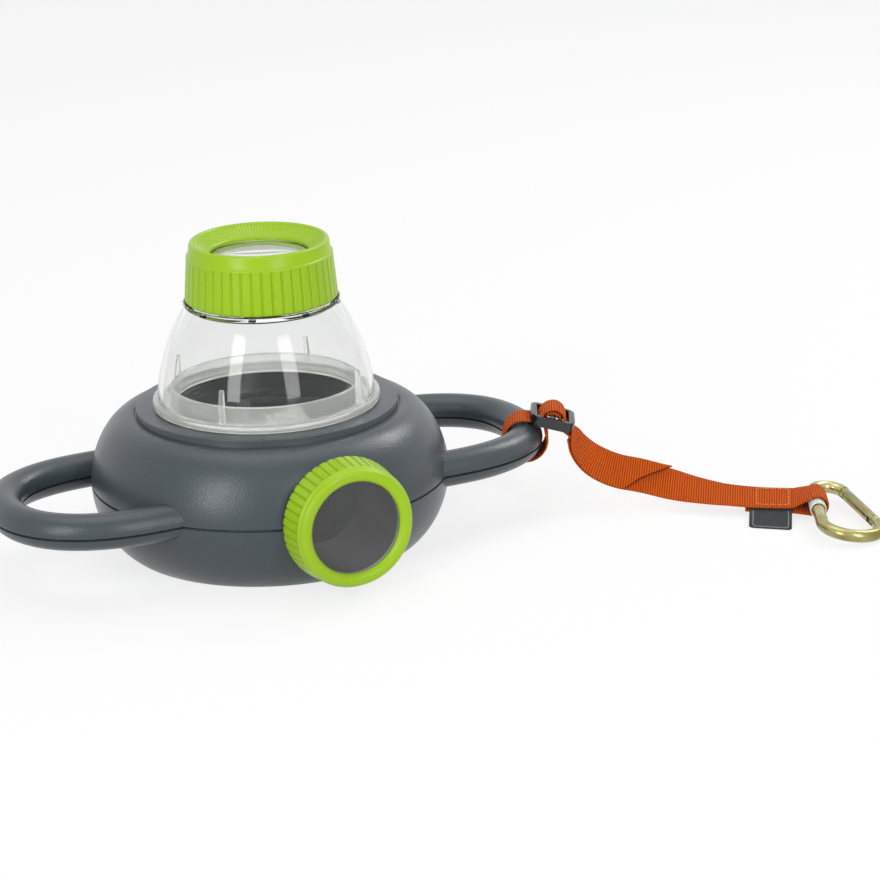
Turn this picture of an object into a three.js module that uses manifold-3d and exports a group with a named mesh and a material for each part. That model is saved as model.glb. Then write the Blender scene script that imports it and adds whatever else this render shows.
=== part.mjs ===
// Two-way bug viewer: a hollow two-part housing with loop handles, a clear dome over a specimen
// cup, a turning eyepiece above it, a second eyepiece at the side that looks at the underside of
// the specimen by a mirror, and a webbing strap with a spring-gate snap hook.
// Millimetres, +Z up. The origin is the middle of the flat base, the side eyepiece faces -Y.

import Module from 'manifold-3d';
import * as THREE from 'three';
import { mergeVertices } from 'three/addons/utils/BufferGeometryUtils.js';

// Fits between separate pieces
const GAP = 0.3;
const SEAM_GAP = 0.3;

// Housing
const BODY_RADIUS = 82;
const BASE_RADIUS = 66.8;
const SHOULDER_RADIUS = 61.5;
const STEP_RADIUS = 59.8;
const SEAM_HEIGHT = 31.6;
const DECK_HEIGHT = 66;
const SHOULDER_DROP = 3;
const SHOULDER_HEIGHT = DECK_HEIGHT - SHOULDER_DROP;
const HOUSING_WALL = 2.4;
const GROOVE_WIDTH = 1.1;
const GROOVE_DEPTH = 0.9;

// Loop handles
const HANDLE_RISE = 1.2;
const HANDLE_HEIGHT = SEAM_HEIGHT + HANDLE_RISE;
const HANDLE_RADIUS = 8.2;
const HANDLE_WALL = 2.2;
const HANDLE_HALF_SPREAD = 43.2;
const HANDLE_INSET = 8;
const HANDLE_STRAIGHT_END = BODY_RADIUS - HANDLE_INSET;
const HANDLE_BOW = 52;
const HANDLE_SQUARENESS = 2.27;
const HANDLE_ROOT = 50;

// Specimen well, its dark liner and the clear cup
const WELL_RADIUS = 47.2;
const WELL_LIP_RADIUS = 43;
const WELL_DEPTH = 16;
const WELL_LIP_HEIGHT = DECK_HEIGHT - WELL_DEPTH;
const WELL_LIP_THICKNESS = 2;
const LINER_RADIUS = 44.6;
const LINER_RIB_DEPTH = 0.7;
const LINER_RIBS = 3;
const CUP_RADIUS = 43.4;
const CUP_WALL = 1.8;
const CUP_RISE = 9.9;
const CUP_TOP = DECK_HEIGHT + CUP_RISE;
const CUP_FLANGE_RADIUS = 46.6;
const CUP_FLANGE_THICKNESS = 1.6;

// Clear dome
const DOME_WALL = 2.2;
const DOME_PLUG_RADIUS = 49.6;
const DOME_PLUG_DEPTH = 3.2;
const DOME_FLANGE_RADIUS = 51.8;
const DOME_FLANGE_THICKNESS = 3.2;
const DOME_FOOT_RADIUS = 49.5;
const DOME_TOP_RADIUS = 35;
const DOME_RISE = 46.6;
const DOME_TOP = DECK_HEIGHT + DOME_RISE;
const NECK_RADIUS = 30.6;
const NECK_LENGTH = 16.9;
const NECK_TOP = DOME_TOP + NECK_LENGTH;
const COLLAR_RADIUS = 35.4;
const COLLAR_THICKNESS = 2.2;
const COLLAR_TABS = 9;
const COLLAR_TAB_WIDTH = 3;
const COLLAR_TAB_REACH = 1.1;
const DOME_RIBS = 4;
const DOME_RIB_THICKNESS = 2;
const DOME_RIB_INNER = 44.2;
const DOME_RIB_RISE = 18;
const DOME_RIB_TOP = DECK_HEIGHT + DOME_RIB_RISE;

// Top eyepiece
const CAP_CLEARANCE = 0.5;
const CAP_BOTTOM = DOME_TOP + COLLAR_THICKNESS + CAP_CLEARANCE;
const CAP_GRIP_HEIGHT = 19;
const CAP_COLLAR_HEIGHT = 7.5;
const CAP_RADIUS_BOTTOM = 34.7;
const CAP_RADIUS_TOP = 33.2;
const CAP_COLLAR_RADIUS = 32.3;
const CAP_RIM_RADIUS = 31.5;
const CAP_CONE_TOP = 29.8;
const CAP_CONE_DEPTH = 5.2;
const CAP_WINDOW_RADIUS = 22.3;
const TOP_LENS_RADIUS = 23.7;
const TOP_LENS_EDGE = 3.3;
const TOP_LENS_BULGE = 2.6;
const LENS_RING_THICKNESS = 1.3;
const LENS_RING_LAND = 1.1;

// Side eyepiece, measured outward along -Y from the middle of the housing
const PORT_HEIGHT = HANDLE_HEIGHT;
const PORT_INSET = 2.8;
const PORT_FACE = BODY_RADIUS - PORT_INSET;
const PORT_DEPTH = 15.2;
const PORT_INNER = PORT_FACE - PORT_DEPTH;
const PORT_BOSS_WALL = 3.6;
const PORT_RECESS_CLEARANCE = 0.7;
const TUBE_RADIUS = 23.5;
const TUBE_WALL = 2.2;
const TUBE_WELL_CLEARANCE = 3.8;
const TUBE_INNER_END = WELL_RADIUS + TUBE_WELL_CLEARANCE;
const TUBE_PROUD = 10.8;
const TUBE_OUTER_END = PORT_FACE + TUBE_PROUD;
const TUBE_FLANGE_RADIUS = 25.8;
const TUBE_FLANGE_THICKNESS = 2;
const BEZEL_CLEARANCE = 0.4;
const BEZEL_REAR = PORT_FACE + BEZEL_CLEARANCE;
const BEZEL_GRIP_LENGTH = 9.4;
const BEZEL_COLLAR_LENGTH = 7.2;
const BEZEL_RADIUS_REAR = 28.7;
const BEZEL_RADIUS_FRONT = 28;
const BEZEL_COLLAR_RADIUS = 27.2;
const BEZEL_RIM_RADIUS = 26.6;
const BEZEL_OPENING = 21.1;
const BEZEL_LIP = 1.4;
const SIDE_LENS_RADIUS = 22.6;
const SIDE_LENS_EDGE = 1.4;
const SIDE_LENS_BULGE = 1.5;

// Grip ribs on both eyepieces
const GRIP_RIBS = 45;
const GRIP_GROOVE_DEPTH = 0.9;
const GRIP_GROOVE_SHARE = 0.42;

// Mirror and its wedge
const MIRROR_SIDE = 53.7;
const MIRROR_HEIGHT = WELL_LIP_HEIGHT - MIRROR_SIDE / (2 * Math.SQRT2);
const MIRROR_THICKNESS = 2;
const MIRROR_SETBACK = 2;
const WEDGE_WIDTH = 50;
const WEDGE_WALL = 3;
const WEDGE_TOE = 1.6;

// Screws
const SCREW_HEAD_RADIUS = 2.8;
const SCREW_HEAD_HEIGHT = 2;
const SCREW_SHANK_RADIUS = 1.4;
const SCREW_BITE = 6.5;
const BASE_SCREW_CIRCLE = 60;
const BASE_SCREW_SEAT_DEPTH = 12;
const HANDLE_SCREW_SEAT_DEPTH = 4;
const POST_WALL = 1.2;

// Webbing and slider
const WEBBING_WIDTH = 16;
const WEBBING_THICKNESS = 1.3;
const STRAP_HEADING = -27;
const SLIDER_SLOPE = 15;
const STRAP_CROSSING = 20;
const SLIDER_LENGTH = 21;
const SLIDER_WIDTH = 22;
const SLIDER_HEIGHT = 5;
const SLIDER_BAR = 2.8;
const SLIDER_RAIL = 2.4;
const SLIDER_CORNER = 4.5;
const SLIDER_BAR_HEIGHT = 3.2;
const SLIDER_CENTRE_DROP = 0.7;
const SLIDER_RISE = 11.7;
const SLIDER_ADVANCE = 10;
const LOOP_RADIUS = 10.25;
const TAIL_SHORT_EDGE = 0.44;
const TAIL_LONG_EDGE = 0.6;
const TAIL_CURL = 1.2;
const SEWN_START = 0.85;
const TAG_END = 0.985;
const TAG_WIDTH = 20;
const TAG_LENGTH = 16;
const TAG_THICKNESS = 0.6;
const LAYER = WEBBING_THICKNESS + GAP;

// Snap hook
const WIRE_RADIUS = 2.9;
const HOOK_WIDE_RADIUS = 13.3;
const HOOK_NARROW_RADIUS = 7.5;
const HOOK_LENGTH = 39.7;
const HOOK_PLACE = [105.2, -117.3];
const HOOK_TURN = [7, -3, 72];
const TONGUE_THICKNESS = 2;
const TONGUE_HEIGHT = 4.4;
const HINGE_OFFSET = 3.6;
const GATE_RADIUS = 2.7;
const GATE_TAIL = 2.6;
const GATE_SLOT_LENGTH = 5.4;
const GATE_BORE_RADIUS = 1.5;
const PIN_RADIUS = 0.8;
const PLUNGER_LENGTH = 14;
const SPRING_ROOM = 6;
const SLEEVE_WALL = 0.6;
const SLEEVE_LENGTH = 18.4;

// Facet counts
const BODY_COLUMNS = 56;
const INNER_COLUMNS = 30;
const ROUND_COLUMNS = 36;
const SMALL_COLUMNS = 8;
const HANDLE_STEPS = 16;
const HANDLE_SIDES = 10;
const HOLLOW_SIDES = 6;
const STRAP_STEPS = 25;

const wasm = await Module();
wasm.setup();

const degrees = THREE.MathUtils.degToRad;

function material(color, roughness, metalness, opacity = 1) {
  return new THREE.MeshStandardMaterial({
    color, roughness, metalness, opacity, transparent: opacity < 1,
  });
}

const HOUSING_PLASTIC = material('#545c63', 0.55, 0);
const DARK_PLASTIC = material('#26292b', 0.6, 0);
const GREEN_PLASTIC = material('#a5cc2c', 0.4, 0);
const CLEAR_PLASTIC = material('#eef2f2', 0.08, 0, 0.3);
const LENS_PLASTIC = material('#f2f6f6', 0.03, 0, 0.3);
const MIRROR_FACE = material('#d9dde0', 0.05, 1);
const STEEL = material('#b8bcc0', 0.35, 1);
const WEBBING = material('#cd5a23', 0.85, 0);
const BUCKLE_PLASTIC = material('#1d1f20', 0.45, 0);
const TAG_FABRIC = material('#3a3d3f', 0.8, 0);
const WHITE_PLASTIC = material('#e8e8e4', 0.5, 0);
const GOLD_METAL = material('#b7a65c', 0.3, 1);

// One closed surface from any geometry: shared corners merged, empty triangles dropped,
// faces turned outward
function closed(geometry) {
  const plain = geometry.clone();
  plain.deleteAttribute('normal');
  plain.deleteAttribute('uv');
  const merged = mergeVertices(plain, 1e-4);
  const position = merged.getAttribute('position');
  const source = merged.index.array;
  const kept = [];
  let volume = 0;
  const [a, b, c] = [new THREE.Vector3(), new THREE.Vector3(), new THREE.Vector3()];
  for (let i = 0; i < source.length; i += 3) {
    const corners = [source[i], source[i + 1], source[i + 2]];
    if (new Set(corners).size < 3) continue;
    kept.push(...corners);
    a.fromBufferAttribute(position, corners[0]);
    b.fromBufferAttribute(position, corners[1]);
    c.fromBufferAttribute(position, corners[2]);
    volume += a.dot(b.cross(c));
  }
  merged.setIndex(volume < 0 ? kept.reverse() : kept);
  return merged;
}

function toSolid(geometry) {
  const surface = closed(geometry);
  return new wasm.Manifold(new wasm.Mesh({
    numProp: 3,
    vertProperties: new Float32Array(surface.getAttribute('position').array),
    triVerts: new Uint32Array(surface.index.array),
  }));
}

function toGeometry(solid) {
  const mesh = solid.getMesh();
  const geometry = new THREE.BufferGeometry();
  geometry.setAttribute('position', new THREE.BufferAttribute(mesh.vertProperties, 3));
  geometry.setIndex(new THREE.BufferAttribute(mesh.triVerts, 1));
  return geometry;
}

// Revolve a list of [radius, height] about Z
function revolve(profile, columns = ROUND_COLUMNS) {
  const points = profile.map(([radius, height]) => new THREE.Vector2(radius, height));
  return new THREE.LatheGeometry(points, columns).rotateX(Math.PI / 2);
}

// Revolve a closed profile, such as a tube wall
function revolveRing(profile, columns = ROUND_COLUMNS) {
  return revolve([...profile, profile[0]], columns);
}

// Turn something built about Z so that its height runs outward along the side eyepiece's axis
function toPort(geometry) {
  return geometry.rotateX(Math.PI / 2).translate(0, 0, PORT_HEIGHT);
}

function disc(radius, low, high, columns = ROUND_COLUMNS) {
  return revolve([[0, low], [radius, low], [radius, high], [0, high]], columns);
}

function block(x0, x1, y0, y1, z0, z1) {
  return new THREE.BoxGeometry(x1 - x0, y1 - y0, z1 - z0)
    .translate((x0 + x1) / 2, (y0 + y1) / 2, (z0 + z1) / 2);
}

// Skin a row of equal rings of points and close both ends
function loft(rings) {
  const size = rings[0].length;
  const positions = rings.flat().flatMap((point) => point.toArray());
  const index = [];
  for (let i = 0; i + 1 < rings.length; i += 1) {
    for (let j = 0; j < size; j += 1) {
      const a = i * size + j;
      const b = i * size + (j + 1) % size;
      index.push(a, b, b + size, a, b + size, a + size);
    }
  }
  const last = (rings.length - 1) * size;
  for (let j = 1; j + 1 < size; j += 1) {
    index.push(0, j + 1, j, last, last + j, last + j + 1);
  }
  const geometry = new THREE.BufferGeometry();
  geometry.setAttribute('position', new THREE.Float32BufferAttribute(positions, 3));
  geometry.setIndex(index);
  return geometry;
}

// Round rod along a row of points that lie in one plane with the given normal
function rod(path, radius, sides, normal) {
  const rings = path.map((point, i) => {
    const before = path[Math.max(i - 1, 0)];
    const after = path[Math.min(i + 1, path.length - 1)];
    const side = after.clone().sub(before).normalize().cross(normal);
    return Array.from({ length: sides }, (_, k) => {
      const angle = (2 * Math.PI * (k + 0.5)) / sides;
      return point.clone()
        .addScaledVector(side, radius * Math.cos(angle))
        .addScaledVector(normal, radius * Math.sin(angle));
    });
  });
  return loft(rings);
}

function curvePoints(controls, steps) {
  const [a, b, c, d] = controls.map(([x, y]) => new THREE.Vector2(x, y));
  return new THREE.CubicBezierCurve(a, b, c, d).getPoints(steps).map((p) => [p.x, p.y]);
}

// Housing outline below and above the seam, drawn inset by a wall when asked
function lowerOutline(inset, steps) {
  const base = BASE_RADIUS - inset * 0.4;
  const rim = BODY_RADIUS - inset;
  const rise = SEAM_HEIGHT - inset;
  return curvePoints([
    [base, inset],
    [base + 0.5 * (rim - base), inset + 0.15 * rise],
    [rim, inset + 0.54 * rise],
    [rim, SEAM_HEIGHT],
  ], steps);
}

function upperOutline(inset, steps) {
  const rim = BODY_RADIUS - inset;
  const top = SHOULDER_HEIGHT - inset;
  const rise = top - SEAM_HEIGHT;
  return curvePoints([
    [rim, SEAM_HEIGHT],
    [rim, SEAM_HEIGHT + 0.46 * rise],
    [SHOULDER_RADIUS + 0.56 * (rim - SHOULDER_RADIUS), top],
    [SHOULDER_RADIUS, top],
  ], steps);
}

function housingOuter(inset = 0) {
  const foot = SHOULDER_HEIGHT - 0.4 - inset;
  const deck = DECK_HEIGHT - inset;
  return revolve([
    [0, inset],
    ...lowerOutline(inset, 6),
    ...upperOutline(inset, 7).slice(1),
    [STEP_RADIUS + 0.8 - inset, foot],
    [STEP_RADIUS + 0.3 - inset, deck - 0.7],
    [STEP_RADIUS - 0.5 - inset, deck],
    [0, deck],
  ], BODY_COLUMNS);
}

// Everything inside the walls, except the well that hangs from the deck
const REBATE_RADIUS = DOME_PLUG_RADIUS + GAP;
const REBATE_FLOOR = DECK_HEIGHT + GAP - DOME_PLUG_DEPTH - 2 * GAP;

function housingCavity() {
  const ceiling = DECK_HEIGHT - HOUSING_WALL;
  return revolve([
    [0, HOUSING_WALL],
    ...lowerOutline(HOUSING_WALL, 3),
    ...upperOutline(HOUSING_WALL, 4).slice(1),
    [STEP_RADIUS - HOUSING_WALL, ceiling],
    [REBATE_RADIUS + HOUSING_WALL, ceiling],
    [REBATE_RADIUS + HOUSING_WALL, REBATE_FLOOR - HOUSING_WALL],
    [WELL_RADIUS + HOUSING_WALL, REBATE_FLOOR - HOUSING_WALL],
    [WELL_RADIUS + HOUSING_WALL, WELL_LIP_HEIGHT],
    [0, WELL_LIP_HEIGHT],
  ], INNER_COLUMNS);
}

function wellBore() {
  const floor = WELL_LIP_HEIGHT + WELL_LIP_THICKNESS;
  return revolve([
    [0, WELL_LIP_HEIGHT - 1],
    [WELL_LIP_RADIUS, WELL_LIP_HEIGHT - 1],
    [WELL_LIP_RADIUS, floor],
    [WELL_RADIUS, floor],
    [WELL_RADIUS, REBATE_FLOOR],
    [REBATE_RADIUS, REBATE_FLOOR],
    [REBATE_RADIUS, DECK_HEIGHT + 1],
    [0, DECK_HEIGHT + 1],
  ]);
}

// Middle line of a loop handle: two straight legs out of the housing and a squarish bow
function handleBow(angle) {
  const power = 2 / HANDLE_SQUARENESS;
  const along = Math.cos(angle) ** power;
  const across = Math.sign(Math.sin(angle)) * Math.abs(Math.sin(angle)) ** power;
  return new THREE.Vector3(
    HANDLE_STRAIGHT_END + HANDLE_BOW * along,
    HANDLE_HALF_SPREAD * across,
    HANDLE_HEIGHT,
  );
}

function handlePath(start) {
  const path = [new THREE.Vector3(start, -HANDLE_HALF_SPREAD, HANDLE_HEIGHT)];
  for (let i = 0; i <= HANDLE_STEPS; i += 1) {
    path.push(handleBow(Math.PI * (i / HANDLE_STEPS - 0.5) * 0.9999));
  }
  path.push(new THREE.Vector3(start, HANDLE_HALF_SPREAD, HANDLE_HEIGHT));
  return path;
}

const UP = new THREE.Vector3(0, 0, 1);
const HANDLE_TIP = HANDLE_STRAIGHT_END + HANDLE_BOW;

function handlePair(radius, sides, start) {
  const right = toSolid(rod(handlePath(start), radius, sides, UP));
  const left = toSolid(rod(handlePath(start), radius, sides, UP).rotateZ(Math.PI));
  return right.add(left);
}

// Places of the screws and the height of each head's seat
const BASE_SCREWS = [45, 135, 225, 315].map((angle) => ({
  x: BASE_SCREW_CIRCLE * Math.cos(degrees(angle)),
  y: BASE_SCREW_CIRCLE * Math.sin(degrees(angle)),
  seat: SEAM_HEIGHT - BASE_SCREW_SEAT_DEPTH,
}));
const HANDLE_SCREWS = [1, -1].map((side) => ({
  x: side * HANDLE_TIP,
  y: 0,
  seat: SEAM_HEIGHT - HANDLE_SCREW_SEAT_DEPTH,
}));
const SCREWS = [...BASE_SCREWS, ...HANDLE_SCREWS];
const SCREW_TOP = SEAM_HEIGHT + SCREW_BITE;
const HEAD_BORE = SCREW_HEAD_RADIUS + GAP;
const SHANK_BORE = SCREW_SHANK_RADIUS + GAP;

function screwBores() {
  const bores = SCREWS.map(({ x, y, seat }) => revolve([
    [0, -1],
    [HEAD_BORE, -1],
    [HEAD_BORE, seat],
    [SHANK_BORE, seat],
    [SHANK_BORE, SCREW_TOP + GAP],
    [0, SCREW_TOP + GAP],
  ], SMALL_COLUMNS).translate(x, y, 0));
  return bores.map(toSolid).reduce((all, bore) => all.add(bore));
}

function screwPosts(envelope) {
  const posts = SCREWS.map(({ x, y }) => toSolid(
    disc(HEAD_BORE + POST_WALL, 0.5, DECK_HEIGHT, SMALL_COLUMNS).translate(x, y, 0),
  ));
  return posts.reduce((all, post) => all.add(post)).intersect(envelope);
}

// The whole moulded housing before it is parted at the seam
function wholeHousing() {
  const envelope = toSolid(housingOuter()).add(handlePair(HANDLE_RADIUS, HANDLE_SIDES, HANDLE_ROOT));
  const port = TUBE_RADIUS + GAP;
  const boss = toSolid(toPort(disc(port + PORT_BOSS_WALL, PORT_INNER, PORT_FACE)));
  const beyond = BODY_RADIUS + HANDLE_RADIUS;
  const recess = toSolid(toPort(
    disc(BEZEL_RADIUS_REAR + PORT_RECESS_CLEARANCE, PORT_FACE, beyond),
  ));
  const bore = toSolid(toPort(disc(port, PORT_INNER - 1, beyond)));
  const hollow = handlePair(HANDLE_RADIUS - HANDLE_WALL, HOLLOW_SIDES, HANDLE_ROOT - 4);
  return envelope
    .subtract(toSolid(housingCavity()))
    .subtract(hollow)
    .add(screwPosts(envelope))
    .subtract(recess)
    .add(boss)
    .subtract(bore)
    .subtract(toSolid(wellBore()))
    .subtract(screwBores());
}

// The shadow line where the halves meet runs round the housing and along both handles
function seamGroove() {
  const low = SEAM_HEIGHT - GROOVE_WIDTH / 2;
  const high = SEAM_HEIGHT + GROOVE_WIDTH / 2;
  const reach = HANDLE_TIP + 2 * HANDLE_RADIUS;
  const slab = toSolid(block(-reach, reach, -reach, reach, low, high));
  const core = toSolid(disc(BODY_RADIUS - GROOVE_DEPTH, low - 1, high + 1, BODY_COLUMNS))
    .add(handlePair(HANDLE_RADIUS - GROOVE_DEPTH, HANDLE_SIDES, HANDLE_ROOT));
  return slab.subtract(core);
}

function housingHalf(low, high) {
  const reach = HANDLE_TIP + 2 * HANDLE_RADIUS;
  const side = toSolid(block(-reach, reach, -reach, reach, low, high));
  return toGeometry(wholeHousing().intersect(side).subtract(seamGroove()));
}

function linerGeometry() {
  const low = WELL_LIP_HEIGHT + WELL_LIP_THICKNESS + GAP;
  const high = DECK_HEIGHT;
  const outer = WELL_RADIUS - GAP;
  const pitch = (high - low) / (LINER_RIBS * 2 + 1);
  const inside = [];
  for (let i = 0; i < LINER_RIBS; i += 1) {
    const top = high - (2 * i + 1) * pitch;
    inside.push([LINER_RADIUS, top], [LINER_RADIUS - LINER_RIB_DEPTH, top - pitch]);
  }
  return revolveRing([
    [outer, low], [outer, high], [LINER_RADIUS, high], ...inside, [LINER_RADIUS, low],
  ], INNER_COLUMNS);
}

const CUP_BOTTOM = WELL_LIP_HEIGHT + WELL_LIP_THICKNESS + 2 * GAP;
const CUP_FLANGE_LOW = DECK_HEIGHT + GAP;

function cupGeometry() {
  const flangeHigh = CUP_FLANGE_LOW + CUP_FLANGE_THICKNESS;
  return revolve([
    [0, CUP_BOTTOM],
    [CUP_RADIUS, CUP_BOTTOM],
    [CUP_RADIUS, CUP_FLANGE_LOW],
    [CUP_FLANGE_RADIUS, CUP_FLANGE_LOW],
    [CUP_FLANGE_RADIUS, flangeHigh],
    [CUP_RADIUS, flangeHigh],
    [CUP_RADIUS, CUP_TOP],
    [CUP_RADIUS - CUP_WALL, CUP_TOP],
    [CUP_RADIUS - CUP_WALL, CUP_BOTTOM + CUP_WALL],
    [0, CUP_BOTTOM + CUP_WALL],
  ], INNER_COLUMNS);
}

const DOME_SEAT = DECK_HEIGHT + GAP;
const DOME_FOOT = DOME_SEAT + DOME_FLANGE_THICKNESS;

// Bell of the dome: near upright at the foot, leaning in towards the neck
function bell(inset, steps) {
  const rise = DOME_TOP - DOME_FOOT;
  const lean = DOME_FOOT_RADIUS - DOME_TOP_RADIUS;
  return curvePoints([
    [DOME_FOOT_RADIUS - inset, DOME_FOOT],
    [DOME_FOOT_RADIUS - inset - 0.05 * lean, DOME_FOOT + 0.335 * rise],
    [DOME_TOP_RADIUS - inset + 0.59 * lean, DOME_FOOT + 0.695 * rise - 0.4 * inset],
    [DOME_TOP_RADIUS - inset, DOME_TOP - 0.6 * inset],
  ], steps);
}

function domeRib(angle) {
  const low = CUP_FLANGE_LOW + CUP_FLANGE_THICKNESS + 2 * GAP;
  const inWall = DOME_FOOT_RADIUS - DOME_WALL / 2;
  const share = (DOME_RIB_TOP - DOME_FOOT) / (DOME_TOP - DOME_FOOT);
  const lean = 0.75 * share ** 1.6 * (DOME_FOOT_RADIUS - DOME_TOP_RADIUS);
  const shape = new THREE.Shape([
    new THREE.Vector2(DOME_RIB_INNER, low),
    new THREE.Vector2(inWall, low),
    new THREE.Vector2(inWall - lean, DOME_RIB_TOP),
    new THREE.Vector2(DOME_RIB_INNER, DOME_RIB_TOP),
  ]);
  return new THREE.ExtrudeGeometry(shape, { depth: DOME_RIB_THICKNESS, bevelEnabled: false })
    .translate(0, 0, -DOME_RIB_THICKNESS / 2)
    .rotateX(Math.PI / 2)
    .rotateZ(angle);
}

function domeGeometry() {
  const collarTop = DOME_TOP + COLLAR_THICKNESS;
  const plug = DOME_SEAT - DOME_PLUG_DEPTH - GAP;
  const skin = revolveRing([
    [DOME_FOOT_RADIUS - DOME_WALL, plug],
    [DOME_PLUG_RADIUS, plug],
    [DOME_PLUG_RADIUS, DOME_SEAT],
    [DOME_FLANGE_RADIUS, DOME_SEAT],
    [DOME_FLANGE_RADIUS, DOME_FOOT - 0.5],
    [DOME_FLANGE_RADIUS - 0.5, DOME_FOOT],
    ...bell(0, 6),
    [COLLAR_RADIUS, DOME_TOP],
    [COLLAR_RADIUS, collarTop],
    [NECK_RADIUS, collarTop],
    [NECK_RADIUS, NECK_TOP],
    [NECK_RADIUS - DOME_WALL, NECK_TOP],
    [NECK_RADIUS - DOME_WALL, DOME_TOP],
    ...bell(DOME_WALL, 5).reverse(),
  ]);
  let dome = toSolid(skin);
  for (let i = 0; i < DOME_RIBS; i += 1) {
    dome = dome.add(toSolid(domeRib(degrees(45) + (2 * Math.PI * i) / DOME_RIBS)));
  }
  const tabReach = COLLAR_RADIUS + COLLAR_TAB_REACH;
  for (let i = 0; i < COLLAR_TABS; i += 1) {
    const tab = block(
      NECK_RADIUS + 1, tabReach, -COLLAR_TAB_WIDTH / 2, COLLAR_TAB_WIDTH / 2,
      collarTop - 1.6, collarTop - 0.4,
    );
    dome = dome.add(toSolid(tab.rotateZ((2 * Math.PI * i) / COLLAR_TABS)));
  }
  return toGeometry(dome);
}

// Grip: a drum whose side carries narrow grooves, drawn in towards its far end
function gripDrum(nearRadius, farRadius, low, height) {
  const pitch = (2 * Math.PI) / GRIP_RIBS;
  const half = (pitch * GRIP_GROOVE_SHARE) / 2;
  const outline = [];
  for (let i = 0; i < GRIP_RIBS; i += 1) {
    const middle = i * pitch;
    [[-half, 0], [0, GRIP_GROOVE_DEPTH], [half, 0]].forEach(([turn, depth]) => {
      const radius = nearRadius - depth;
      const angle = middle + turn;
      outline.push(new THREE.Vector2(radius * Math.cos(angle), radius * Math.sin(angle)));
    });
  }
  const drum = new THREE.ExtrudeGeometry(new THREE.Shape(outline), {
    depth: height, bevelEnabled: false,
  });
  const position = drum.getAttribute('position');
  for (let i = 0; i < position.count; i += 1) {
    const draw = position.getZ(i) > height / 2 ? farRadius / nearRadius : 1;
    position.setXY(i, position.getX(i) * draw, position.getY(i) * draw);
  }
  return drum.translate(0, 0, low);
}

// Lens pocket heights inside the cap, from the neck upward
const TOP_RING_LOW = NECK_TOP + 2 * GAP;
const TOP_LENS_LOW = TOP_RING_LOW + LENS_RING_THICKNESS + GAP;
const CAP_GRIP_TOP = CAP_BOTTOM + CAP_GRIP_HEIGHT;
const CAP_TOP = CAP_GRIP_TOP + CAP_COLLAR_HEIGHT;

function capGeometry() {
  const grip = toSolid(gripDrum(CAP_RADIUS_BOTTOM, CAP_RADIUS_TOP, CAP_BOTTOM, CAP_GRIP_HEIGHT));
  const collar = toSolid(revolve([
    [0, CAP_GRIP_TOP - 1],
    [CAP_COLLAR_RADIUS, CAP_GRIP_TOP - 1],
    [CAP_RIM_RADIUS + 0.1, CAP_TOP - 1.2],
    [CAP_RIM_RADIUS - 0.3, CAP_TOP - 0.35],
    [CAP_RIM_RADIUS - 0.9, CAP_TOP],
    [CAP_CONE_TOP, CAP_TOP - 0.2],
    [CAP_WINDOW_RADIUS, CAP_TOP - CAP_CONE_DEPTH],
    [0, CAP_TOP - CAP_CONE_DEPTH],
  ]));
  const pocket = TOP_LENS_RADIUS + GAP;
  const pocketTop = TOP_LENS_LOW + TOP_LENS_EDGE + GAP;
  const bore = toSolid(revolve([
    [0, CAP_BOTTOM - 1],
    [NECK_RADIUS + GAP, CAP_BOTTOM - 1],
    [NECK_RADIUS + GAP, TOP_LENS_LOW - GAP / 2],
    [pocket, TOP_LENS_LOW - GAP / 2],
    [pocket, pocketTop],
    [CAP_WINDOW_RADIUS, pocketTop],
    [CAP_WINDOW_RADIUS, CAP_TOP],
    [0, CAP_TOP],
  ]));
  return toGeometry(grip.add(collar).subtract(bore));
}

// Magnifier with a flat back, a rim of its own thickness and a domed front
function lensGeometry(radius, low, edge, bulge) {
  const rim = radius - 1.2;
  const crown = [];
  const steps = 4;
  for (let i = 0; i <= steps; i += 1) {
    const r = rim * (1 - i / steps);
    crown.push([r, low + edge + bulge * (1 - (r / rim) ** 2)]);
  }
  return revolve([[0, low], [radius, low], [radius, low + edge], ...crown], INNER_COLUMNS);
}

function ringGeometry(inner, outer, low, high, columns = INNER_COLUMNS) {
  return revolveRing([[inner, low], [outer, low], [outer, high], [inner, high]], columns);
}

const SIDE_RING_LOW = TUBE_OUTER_END + GAP;
const SIDE_LENS_LOW = SIDE_RING_LOW + LENS_RING_THICKNESS + GAP;
const BEZEL_GRIP_END = BEZEL_REAR + BEZEL_GRIP_LENGTH;
const BEZEL_FRONT = BEZEL_GRIP_END + BEZEL_COLLAR_LENGTH;

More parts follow.
